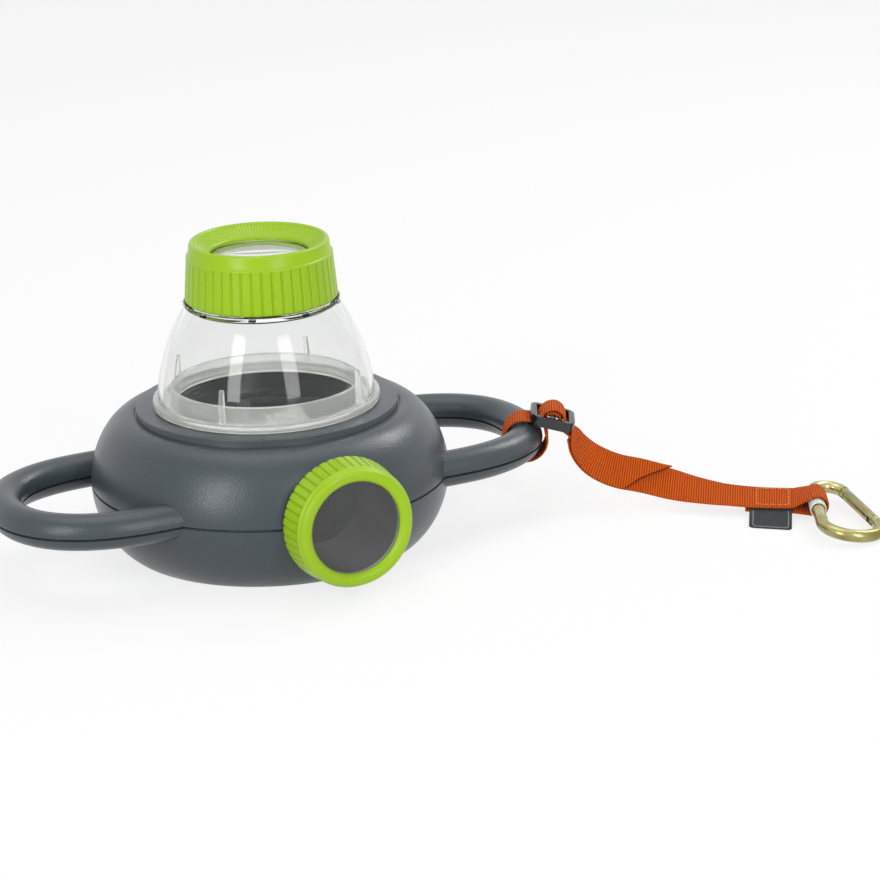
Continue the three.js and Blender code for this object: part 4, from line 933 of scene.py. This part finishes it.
WEBBING_WIDTH = 16
WEBBING_THICKNESS = 1.3
LAYER = WEBBING_THICKNESS + GAP
SLIDER_LENGTH = 21
SLIDER_WIDTH = 22
SLIDER_HEIGHT = 5
SLIDER_BAR = 2.8
SLIDER_RAIL = 2.4
SLIDER_BAR_HEIGHT = 3.2
SLIDER_CORNER = 4.5
SLIDER_ROUND = 1.1
BAR_RECESS = 0.7
SLIDER_RISE = 11.7
SLIDER_ADVANCE = 10
SLIDER_HEADING = -27
SLIDER_SLOPE = 15
CROSSING = 20
LOOP_RADIUS = 10.25
LOOP_SAMPLES = 66


def slider_frame():
    """Place of the slider: along the strap, across it and out of it, above the handle's rod."""
    share = (CROSSING / HANDLE_HALF_SPREAD) ** HANDLE_SQUARENESS
    out_to = HANDLE_STRAIGHT_END + HANDLE_BOW * (1 - share) ** (1 / HANDLE_SQUARENESS)
    turn = turn_about("Z", SLIDER_HEADING) @ turn_about("Y", SLIDER_SLOPE)
    offset = Matrix.Translation((SLIDER_ADVANCE, 0, SLIDER_RISE))
    return Matrix.Translation((out_to, -CROSSING, HANDLE_HEIGHT)) @ turn @ offset


SLIDER_FRAME = slider_frame()


def add_slider():
    """Three-bar slider: a rounded plate with two windows and a lower bar in the middle."""
    x, y, corner = SLIDER_LENGTH / 2, SLIDER_WIDTH / 2, SLIDER_CORNER
    outline = []
    for cx, cy, start in ((x, y, 0), (-x, y, 90), (-x, -y, 180), (x, -y, 270)):
        centre = (cx - math.copysign(corner, cx), cy - math.copysign(corner, cy))
        outline += arc(centre, corner, start, start + 90, 8)
    half = SLIDER_HEIGHT / 2
    plate = lofted("buckle", [[Vector((px, py, z)) for px, py in outline] for z in (-half, half)])
    reach = y - SLIDER_RAIL
    bar = SLIDER_BAR / 2
    inner = x - SLIDER_BAR
    past = half + 3.5
    cuts = [
        block("cut", (-inner, -reach, -past), (-bar, reach, past)),
        block("cut", (bar, -reach, -past), (inner, reach, past)),
        block("cut", (-x - 1, -reach, -past), (x + 1, reach, half - SLIDER_BAR_HEIGHT)),
        block("cut", (-inner, -reach, half - BAR_RECESS), (inner, reach, past)),
    ]
    combine_solids(plate, cuts, "DIFFERENCE")
    bevel(plate, SLIDER_ROUND, 5)
    plate.data.transform(SLIDER_FRAME)
    dress(plate, BUCKLE, "housing", "buckle", "slider", sharp=60)


class Route:
    """Smooth line through points, with parameter 0 to 1 and equal shares between points."""

    def __init__(self, points):
        self.points = [Vector(p) for p in points]

    def point(self, share):
        points = self.points
        place = (len(points) - 1) * min(max(share, 0), 1)
        i = min(int(place), len(points) - 2)
        t = place - i
        p1, p2 = points[i], points[i + 1]
        p0 = points[i - 1] if i > 0 else 2 * p1 - p2
        p3 = points[i + 2] if i + 2 < len(points) else 2 * p2 - p1
        pairs = ((p0, p1), (p1, p2), (p2, p3))
        first, middle, last = (math.sqrt((b - a).length) for a, b in pairs)
        middle = 1.0 if middle < 1e-4 else middle
        first, last = (step if step > 1e-4 else middle for step in (first, last))
        m1 = ((p1 - p0) / first - (p2 - p0) / (first + middle) + (p2 - p1) / middle) * middle
        m2 = ((p2 - p1) / middle - (p3 - p1) / (middle + last) + (p3 - p2) / last) * middle
        return (
            (2 * t ** 3 - 3 * t ** 2 + 1) * p1 + (t ** 3 - 2 * t ** 2 + t) * m1
            + (-2 * t ** 3 + 3 * t ** 2) * p2 + (t ** 3 - t ** 2) * m2
        )

    def tangent(self, share):
        step = 1e-4
        return (self.point(share + step) - self.point(share - step)).normalized()


STRAP_MIDDLES = Route([
    (140.8, -29.9, 33.2), (142.4, -32.7, 28.0), (146.0, -36.0, 22.8), (150.9, -39.9, 19.0),
    (157.4, -45.1, 16.1), (165.4, -51.6, 14.4), (176.3, -61.1, 11.2), (186.5, -69.9, 8.8),
    (197.2, -79.1, 7.3), (208.9, -89.3, 6.9), (219.6, -98.6, 7.4),
])
STRAP_ACROSS = Route([
    (9.3, 11.3, 1.2), (10.9, 8.8, 3.2), (10.5, 7.0, 6.9), (8.2, 5.9, 10.4), (6.0, 5.4, 12.5),
    (5.3, 6.6, 12.4), (6.9, 9, 11.3), (7.6, 11.6, 7.9), (8.1, 12.8, 5.3), (8.1, 13, 4.7),
    (8.2, 13, 4.4),
])
TAIL_SHORT_EDGE = 0.44
TAIL_LONG_EDGE = 0.6
TAIL_CURL = 1.2
TAIL_STEPS = 18
SEWN_START = 0.85
SEWN_END = 0.985
TAIL_CUT = 1.97
CUT_EDGE_LENGTH = 0.26
CUT_EDGE_HEIGHT = 0.6
RIB_HEIGHT = 0.1
RIB_SINK = 0.08
# places across the webbing as shares of its width, and the share of its thickness there
RIBBON_SPOTS = (0, 0.03, 0.1, 0.25, 0.42, 0.58, 0.75, 0.9, 0.97, 1)
RIBBON_THICKNESS = (0.3, 0.75, 1, 1, 1, 1, 1, 1, 0.75, 0.3)


def strap_station(share, lift=0.0):
    """Middle, direction across and normal of the strap at a share of its length."""
    across = STRAP_ACROSS.point(share).normalized()
    normal = STRAP_MIDDLES.tangent(share).cross(across).normalized()
    return STRAP_MIDDLES.point(share) + lift * normal, across, normal


def stations_along(middles, sides):
    """Line through points, and the station on it at a share of its length."""
    line, across_line = Route(middles), Route(sides)

    def station(share):
        across = across_line.point(share).normalized()
        return line.point(share), across, line.tangent(share).cross(across).normalized()

    return line, station


def map_threads(piece, marks):
    """Say for each vertex where in the weave it lies: millimetres across and along."""
    layer = piece.data.uv_layers.new(name=THREAD_MAP)
    for loop in piece.data.loops:
        layer.data[loop.index].uv = marks[loop.vertex_index]


def ribbon(name, station, samples, limits=None):
    """Woven webbing along stations: real ribs across it, rounded edges and a map of its threads.

    limits(share) gives the part of the width, from -1 to 1, that the webbing has there.
    """
    dense = [station(share)[0] for share in shares(samples)]
    lengths = [0.0]
    for a, b in zip(dense, dense[1:]):
        lengths.append(lengths[-1] + (b - a).length)
    count = max(8, int(lengths[-1] / (RIB_PITCH / 4)))
    half = WEBBING_WIDTH / 2
    order = range(len(RIBBON_SPOTS))
    rings, marks = [], []
    place = 0
    for i in range(count + 1):
        distance = lengths[-1] * i / count
        while place < samples - 1 and lengths[place + 1] < distance:
            place += 1
        step = lengths[place + 1] - lengths[place]
        share = (place + (distance - lengths[place]) / step) / samples
        middle, across, normal = station(share)
        low, high = limits(share) if limits else (-1, 1)
        rib = RIB_HEIGHT * math.cos(TAU * distance / RIB_PITCH)
        spots = [half * (low + (high - low) * spot) for spot in RIBBON_SPOTS]
        ring = []
        for face, turn in ((1, reversed(order)), (-1, order)):
            for k in turn:
                thick = RIBBON_THICKNESS[k] * (WEBBING_THICKNESS / 2 - RIB_SINK + rib)
                ring.append(middle + spots[k] * across + face * thick * normal)
                marks.append((spots[k], distance))
        rings.append(ring)
    piece = lofted(name, rings)
    map_threads(piece, marks)
    return piece, lengths[-1]


def loop_outline():
    """Course of the loop's webbing in the slider's frame, as (along, out) from start to tail."""
    bar_bottom = SLIDER_HEIGHT / 2 - SLIDER_BAR_HEIGHT
    second = bar_bottom - GAP - WEBBING_THICKNESS / 2
    first = second - LAYER
    over_bar = SLIDER_HEIGHT / 2 - BAR_RECESS + GAP + WEBBING_THICKNESS / 2
    end = SLIDER_LENGTH / 2
    inner = end - SLIDER_BAR
    hug = SLIDER_BAR / 2 + GAP + WEBBING_THICKNESS / 2
    points = [
        (end - 0.2, first - 2.1), (end - 2.5, first - 0.7), (inner - 1.5, first + 0.2),
        (inner - 3.4, first + 1.7), (hug + 1.2, 0.6), (hug + 0.7, over_bar + 0.6),
        (1.0, over_bar + 1.6), (-1.0, over_bar + 1.6), (-0.6 - hug, over_bar + 0.4),
        (-hug - 0.6, 0.4), (-hug - 0.2, -3),
    ]
    points += arc((-SLIDER_ADVANCE, -SLIDER_RISE), LOOP_RADIUS, 35, -237.4, 12)
    points += [
        (-end + 0.8, second), (-inner - 0.4, second), (-inner + 0.8, second + 0.4),
        (-inner + 1.7, 0.4), (-inner + 2.6, 2.6), (-3.5, over_bar + 1.9), (-0.8, over_bar + 3.3),
        (2, over_bar + 3.2), (4.3, over_bar + 1.7), (5.5, 2.2), (inner - 1.5, 0),
        (inner - 0.5, second + 0.3), (end - 2.2, second - 0.15), (end - 0.3, second - 1.4),
    ]
    return points


def add_strap_loop():
    """Webbing through the slider and round the handle, with a tail that lies on the strap."""
    outline = Route([(along, 0, out) for along, out in loop_outline()])
    slider_across = SLIDER_FRAME.to_3x3() @ Vector((0, 1, 0))
    middles = [SLIDER_FRAME @ outline.point(share) for share in shares(LOOP_SAMPLES)]
    sides = [slider_across] * len(middles)
    for i in range(1, TAIL_STEPS + 1):
        share = TAIL_LONG_EDGE * i / TAIL_STEPS
        past_cut = max(0, (share - TAIL_SHORT_EDGE) / (TAIL_LONG_EDGE - TAIL_SHORT_EDGE))
        middle, across, _ = strap_station(share, LAYER + TAIL_CURL * past_cut ** 1.5)
        middles.append(middle)
        sides.append(across)
    line, station = stations_along(middles, sides)
    cut_from = LOOP_SAMPLES + TAIL_STEPS * TAIL_SHORT_EDGE / TAIL_LONG_EDGE
    cut_from /= LOOP_SAMPLES + TAIL_STEPS

    def limits(share):
        if share <= cut_from:
            return -1, 1
        return -1 + TAIL_CUT * (share - cut_from) / (1 - cut_from), 1

    piece, _ = ribbon("handle_loop", station, 900, limits)
    dress(piece, WEBBING, "housing", "webbing", "strap_loop", sharp=80)

    rings = []
    for part in shares(40):
        share = cut_from + (1 - cut_from) * part
        middle, across, normal = station(share)
        edge = limits(share)[0] * WEBBING_WIDTH / 2 + 0.1
        ahead = CUT_EDGE_LENGTH * line.tangent(share)
        rings.append(circle(middle + edge * across, 1, ahead, CUT_EDGE_HEIGHT * normal, 8))
    dress(lofted("cut_edge", rings), SINGED, "housing", "webbing", sharp=80)


STITCH_SIDES = 6
STITCH_STEP = 2.4
# first and last share of the strap's length, half width
STITCH_BOX = (0.885, 0.99, 6.2)
# share of the stitch's length, height, radius
STITCH_SHAPE = (
    (0, 0.12, 0.1), (0.18, 0.3, 0.24), (0.5, 0.36, 0.3), (0.82, 0.3, 0.24), (1, 0.12, 0.1),
)


def stitches(name, spots, station, lift):
    """Rows of short raised stitches. Each spot is (share, across in mm, share, across in mm)."""
    vertices, faces = [], []
    for share_a, side_a, share_b, side_b in spots:
        middle, across, normal = station(share_a)
        a = middle + side_a * across
        middle, across, _ = station(share_b)
        b = middle + side_b * across
        aside = (b - a).normalized().cross(normal)
        start = len(vertices)
        for share, height, radius in STITCH_SHAPE:
            centre = a.lerp(b, share) + (lift + height - 0.2) * normal
            vertices += circle(centre, radius, aside, 0.8 * normal, STITCH_SIDES)
        faces += skin(len(STITCH_SHAPE), STITCH_SIDES, start)
    return add_mesh(name, vertices, faces)


STRAP_DOTS = [STRAP_MIDDLES.point(share) for share in shares(400)]
STRAP_LENGTH = sum((b - a).length for a, b in zip(STRAP_DOTS, STRAP_DOTS[1:]))


def stitch_box(first, last, half):
    """Stitches round a box on the strap."""
    sides = (
        (first, -half, last, -half), (first, half, last, half),
        (first, -half, first, half), (last, -half, last, half),
    )
    spots = []
    for share, side, share_end, side_end in sides:
        along, aside = share_end - share, side_end - side
        count = max(1, round(math.hypot(along * STRAP_LENGTH, aside) / STITCH_STEP))
        for near, far in (((i + 0.1) / count, (i + 0.9) / count) for i in range(count)):
            spots.append((
                share + near * along, side + near * aside,
                share + far * along, side + far * aside,
            ))
    return spots


def add_strap():
    strap, length = ribbon("free_strap", strap_station, 400)
    path = [STRAP_MIDDLES.point(share) for share in shares(60)]
    dress(strap, WEBBING, "housing", "webbing", "strap", sharp=80)
    box = stitch_box(*STITCH_BOX)
    seam = stitches("stitching", box, strap_station, WEBBING_THICKNESS / 2)
    dress(seam, THREAD, "housing", "webbing", sharp=80)
    return strap, seam, path, length


# Snap hook

WIRE_RADIUS = 2.9
HOOK_WIDE = 13.3
HOOK_NARROW = 7.5
HOOK_LENGTH = 39.7
HINGE_OFFSET = 3.6
GATE_RADIUS = 2.7
TONGUE_TALL = 2.2
SLOT_LENGTH = 5.4
SLOT_HALF_WIDTH = 1.3
PIN_RADIUS = 0.8
PIN_HALF_LENGTH = 2.7
PIN_BORE = 1.1
PLUNGER_RADIUS = 1.2
PLUNGER_LENGTH = 14
PLUNGER_BORE = 1.5
PLUNGER_BORE_TOP = 23.6
HOOK_PLACE = (227, -137.3)
HOOK_TURN = turn_about("Z", 72) @ turn_about("Y", -3) @ turn_about("X", 7)
HOOK_LEAN = math.asin((HOOK_WIDE - HOOK_NARROW) / HOOK_LENGTH)


def hook_path(wide_steps=48, narrow_steps=32):
    """Middle line of the wire: the wide bow, the straight side, then the narrow bow."""
    tangent = math.pi / 2 - HOOK_LEAN
    path = []
    for radius, centre, start, end, steps in (
        (HOOK_WIDE, 0, TAU - tangent, tangent, wide_steps),
        (HOOK_NARROW, HOOK_LENGTH, tangent, -tangent, narrow_steps),
    ):
        for share in shares(steps):
            angle = start + (end - start) * share
            path.append(Vector((centre + radius * math.cos(angle), radius * math.sin(angle), 0)))
    return path


def hook_frame():
    """Place of the hook: its wide bow's middle over a spot, its lowest side on the ground."""
    lowest = min((HOOK_TURN @ p).z for p in hook_path(14, 9))
    return Matrix.Translation((*HOOK_PLACE, WIRE_RADIUS + 0.1 - lowest)) @ HOOK_TURN


HOOK_FRAME = hook_frame()


def gate_frame():
    path = hook_path()
    along = (path[-1] - path[0]).normalized()
    return HOOK_FRAME @ basis(UP.cross(along), UP, along, path[0])


GATE_FRAME = gate_frame()
GATE_SPAN = HOOK_LENGTH * math.cos(HOOK_LEAN)


def add_hook():
    wire = rod("hook_wire", hook_path(), WIRE_RADIUS, 28, HOOK_FRAME)
    tall, slot = TONGUE_TALL, SLOT_HALF_WIDTH
    nose = GATE_SPAN - SLOT_LENGTH
    hinge_end = HINGE_OFFSET + TONGUE_TALL
    tongues = [
        block("hinge", (-tall, -1, -1), (tall, 1, hinge_end), GATE_FRAME),
        block("nose", (-tall, -1, nose + 1.6), (tall, 1, GATE_SPAN + 1), GATE_FRAME),
    ]
    combine_solids(wire, tongues, "UNION")
    at_pin = GATE_FRAME @ Matrix.Translation((0, 0, HINGE_OFFSET)) @ turn_about("X", 90)
    combine_solids(wire, [cylinder("eye", PIN_BORE, -3, 3, 20, at_pin)], "DIFFERENCE")
    bevel(wire, 0.25, 2, 50)
    dress(wire, GOLD, "hook", "hook", "carabiner", sharp=60)

    rear = HINGE_OFFSET - 2.6
    end = GATE_SPAN - 2 * GAP
    gate = turned("hook_gate", [
        (0, rear), (1.8, rear), (2.4, rear + 0.4), (GATE_RADIUS, rear + 1.1),
        (GATE_RADIUS, end - 0.3), (GATE_RADIUS - 0.3, end), (0, end),
    ], 28, place=GATE_FRAME)
    cuts = [
        block("cut", (-4, -slot, rear - 1), (4, slot, hinge_end + 1), GATE_FRAME),
        block("cut", (-4, -slot, nose), (4, slot, GATE_SPAN + 1), GATE_FRAME),
        cylinder("cut", PIN_BORE, -4, 4, 20, at_pin),
        cylinder("cut", PLUNGER_BORE, HINGE_OFFSET, PLUNGER_BORE_TOP, 20, GATE_FRAME),
    ]
    combine_solids(gate, cuts, "DIFFERENCE")
    dress(gate, GOLD, "gate", "hook", "carabiner_gate", sharp=45)

    pin = rounded_pin(
        "hook_pin", PIN_RADIUS, -PIN_HALF_LENGTH, PIN_HALF_LENGTH, 0.2, 20, at_pin,
    )
    dress(pin, STEEL, "hook", "screws", "gate_pin")
    low = hinge_end + GAP
    plunger = rounded_pin(
        "gate_spring_pin", PLUNGER_RADIUS, low, low + PLUNGER_LENGTH, 0.3, 20, GATE_FRAME,
    )
    dress(plunger, STEEL, "gate", "screws", "gate_plunger")
    return [wire, gate, pin, plunger]


def spine_frame():
    """Place of the sleeve on the hook's straight side."""
    wide_steps = 14
    path = hook_path(wide_steps, 9)
    wide, narrow = path[wide_steps:wide_steps + 2]
    along = (HOOK_FRAME.to_3x3() @ (narrow - wide)).normalized()
    away = -UP.cross(along).normalized()
    return basis(away, along.cross(away), along, HOOK_FRAME @ wide.lerp(narrow, 0.7))


SPINE_FRAME = spine_frame()
SLEEVE_INNER = WIRE_RADIUS + GAP
SLEEVE_WALL = 0.6
SLEEVE_RADIUS = SLEEVE_INNER + SLEEVE_WALL
SLEEVE_LOW = -12.0
SLEEVE_HIGH = 9.2


def add_end_loop():
    """Webbing from the strap's end round the sleeve and back under the strap."""
    radius = SLEEVE_RADIUS + 1.5 * GAP + WEBBING_THICKNESS / 2
    spine_across = SPINE_FRAME.to_3x3() @ UP
    middle, across, _ = strap_station(1)
    middles = [middle + GAP * STRAP_MIDDLES.tangent(1)]
    sides = [across]
    for x, y in arc((0, 0), radius, -120, 120, 12):
        middles.append(SPINE_FRAME @ Vector((x, y, 0)))
        sides.append(spine_across)
    for share in shares(4):
        place = SEWN_END - (SEWN_END - SEWN_START) * share
        middle, across, _ = strap_station(place, -LAYER - SLEEVE_WALL - GAP)
        middles.append(middle)
        sides.append(across)
    _, station = stations_along(middles, sides)
    piece, _ = ribbon("end_loop", station, 400)
    return dress(piece, WEBBING, "housing", "webbing", "strap_end_loop", sharp=80)


TAG_WIDTH = 15.4
TAG_DROP = 16
TAG_CORNER = 1.9
TAG_HALF_THICKNESS = 0.27
TAG_ROWS = 24
TAG_COLUMNS = 16
TAG_ROW_PITCH = 1.3
BORDER_INSET = 2
BORDER_START = 7
BORDER_RADIUS = 0.24


def cord_on_sheet(name, rings, route, radius):
    """Thin cord on the upper side of a sheet, through points given by ring and place in it."""
    rows = []
    spots = [rings[i][k] for i, k in route]
    for index, (i, k) in enumerate(route):
        ahead = spots[min(index + 1, len(spots) - 1)] - spots[max(index - 1, 0)]
        normal = (rings[i][k] - rings[i][len(rings[i]) - 1 - k]).normalized()
        side = ahead.cross(normal).normalized()
        rows.append(circle(spots[index], radius, side, normal, 8))
    return lofted(name, rows)


def tag_line(share, inward):
    """Line down the label from inside the strap's end, over its near edge and to the ground."""
    middle, across, _ = strap_station(share, -WEBBING_THICKNESS / 2 - GAP - 0.3)
    root = middle - 4 * across
    edge = middle - 8.6 * across
    fall = Vector((across.x, across.y, 0)).normalized()
    rounded = max(0.0, 1 - inward / TAG_CORNER)
    tip = edge - (TAG_DROP - TAG_CORNER * (1 - math.sqrt(1 - rounded ** 2))) * fall
    tip.z = 0.4
    return Route([
        root, root.lerp(edge, 0.7), edge, edge.lerp(tip, 0.12) + Vector((0, 0, 0.12)),
        edge.lerp(tip, 0.4), edge.lerp(tip, 0.8), tip,
    ])


def add_tag():
    """Bare label: leaves the strap's near edge, bends over it and lies down to the ground."""
    first = 1 - TAG_WIDTH / STRAP_LENGTH
    rings, marks = [], []
    for i, part in enumerate(shares(TAG_ROWS)):
        share = first + (1 - first) * part
        line = tag_line(share, min(share - first, 1 - share) * STRAP_LENGTH)
        upper, lower = [], []
        for k, down in enumerate(shares(TAG_COLUMNS)):
            spot = line.point(down)
            out = line.tangent(down).cross(STRAP_MIDDLES.tangent(share)).normalized()
            if out.z < 0:
                out = -out
            at_edge = k in (0, TAG_COLUMNS) or i in (0, TAG_ROWS)
            thick = TAG_HALF_THICKNESS * (0.6 if at_edge else 1.0)
            upper.append(spot + thick * out)
            lower.append(spot - thick * out)
        rings.append(upper + lower[::-1])
        row = [(share * STRAP_LENGTH, k * TAG_ROW_PITCH) for k in range(TAG_COLUMNS + 1)]
        marks += row + row[::-1]
    left, right, foot = BORDER_INSET, TAG_ROWS - BORDER_INSET, TAG_COLUMNS - 1
    route = [(left, k) for k in range(BORDER_START, foot)]
    route += [(i, foot) for i in range(left + 1, right)]
    route += [(right, k) for k in reversed(range(BORDER_START, foot))]
    border = cord_on_sheet("label_border", rings, route, BORDER_RADIUS)
    dress(border, BORDER, "housing", "tag", sharp=80)
    tag = lofted("label", rings)
    map_threads(tag, marks)
    return dress(tag, LABEL, "housing", "tag", "strap_tag", sharp=80), border


add_slider()
add_strap_loop()
strap, seam, strap_path, strap_length = add_strap()
hook_pieces = add_hook()
tube = rounded_pin(
    "tube_sleeve", SLEEVE_RADIUS, SLEEVE_LOW, SLEEVE_HIGH, 0.15, 48, SPINE_FRAME, SLEEVE_INNER,
)
sleeve = dress(tube, WHITE, "hook", "sleeve", "sleeve")
end_loop = add_end_loop()
tag, tag_border = add_tag()
tuple(0.001 * c for c in STRAP_MIDDLES.points[0])
[tuple(0.001 * c for c in point) for point in strap_path]


scene = bpy.context.scene
scene.view_settings.view_transform = "Standard"
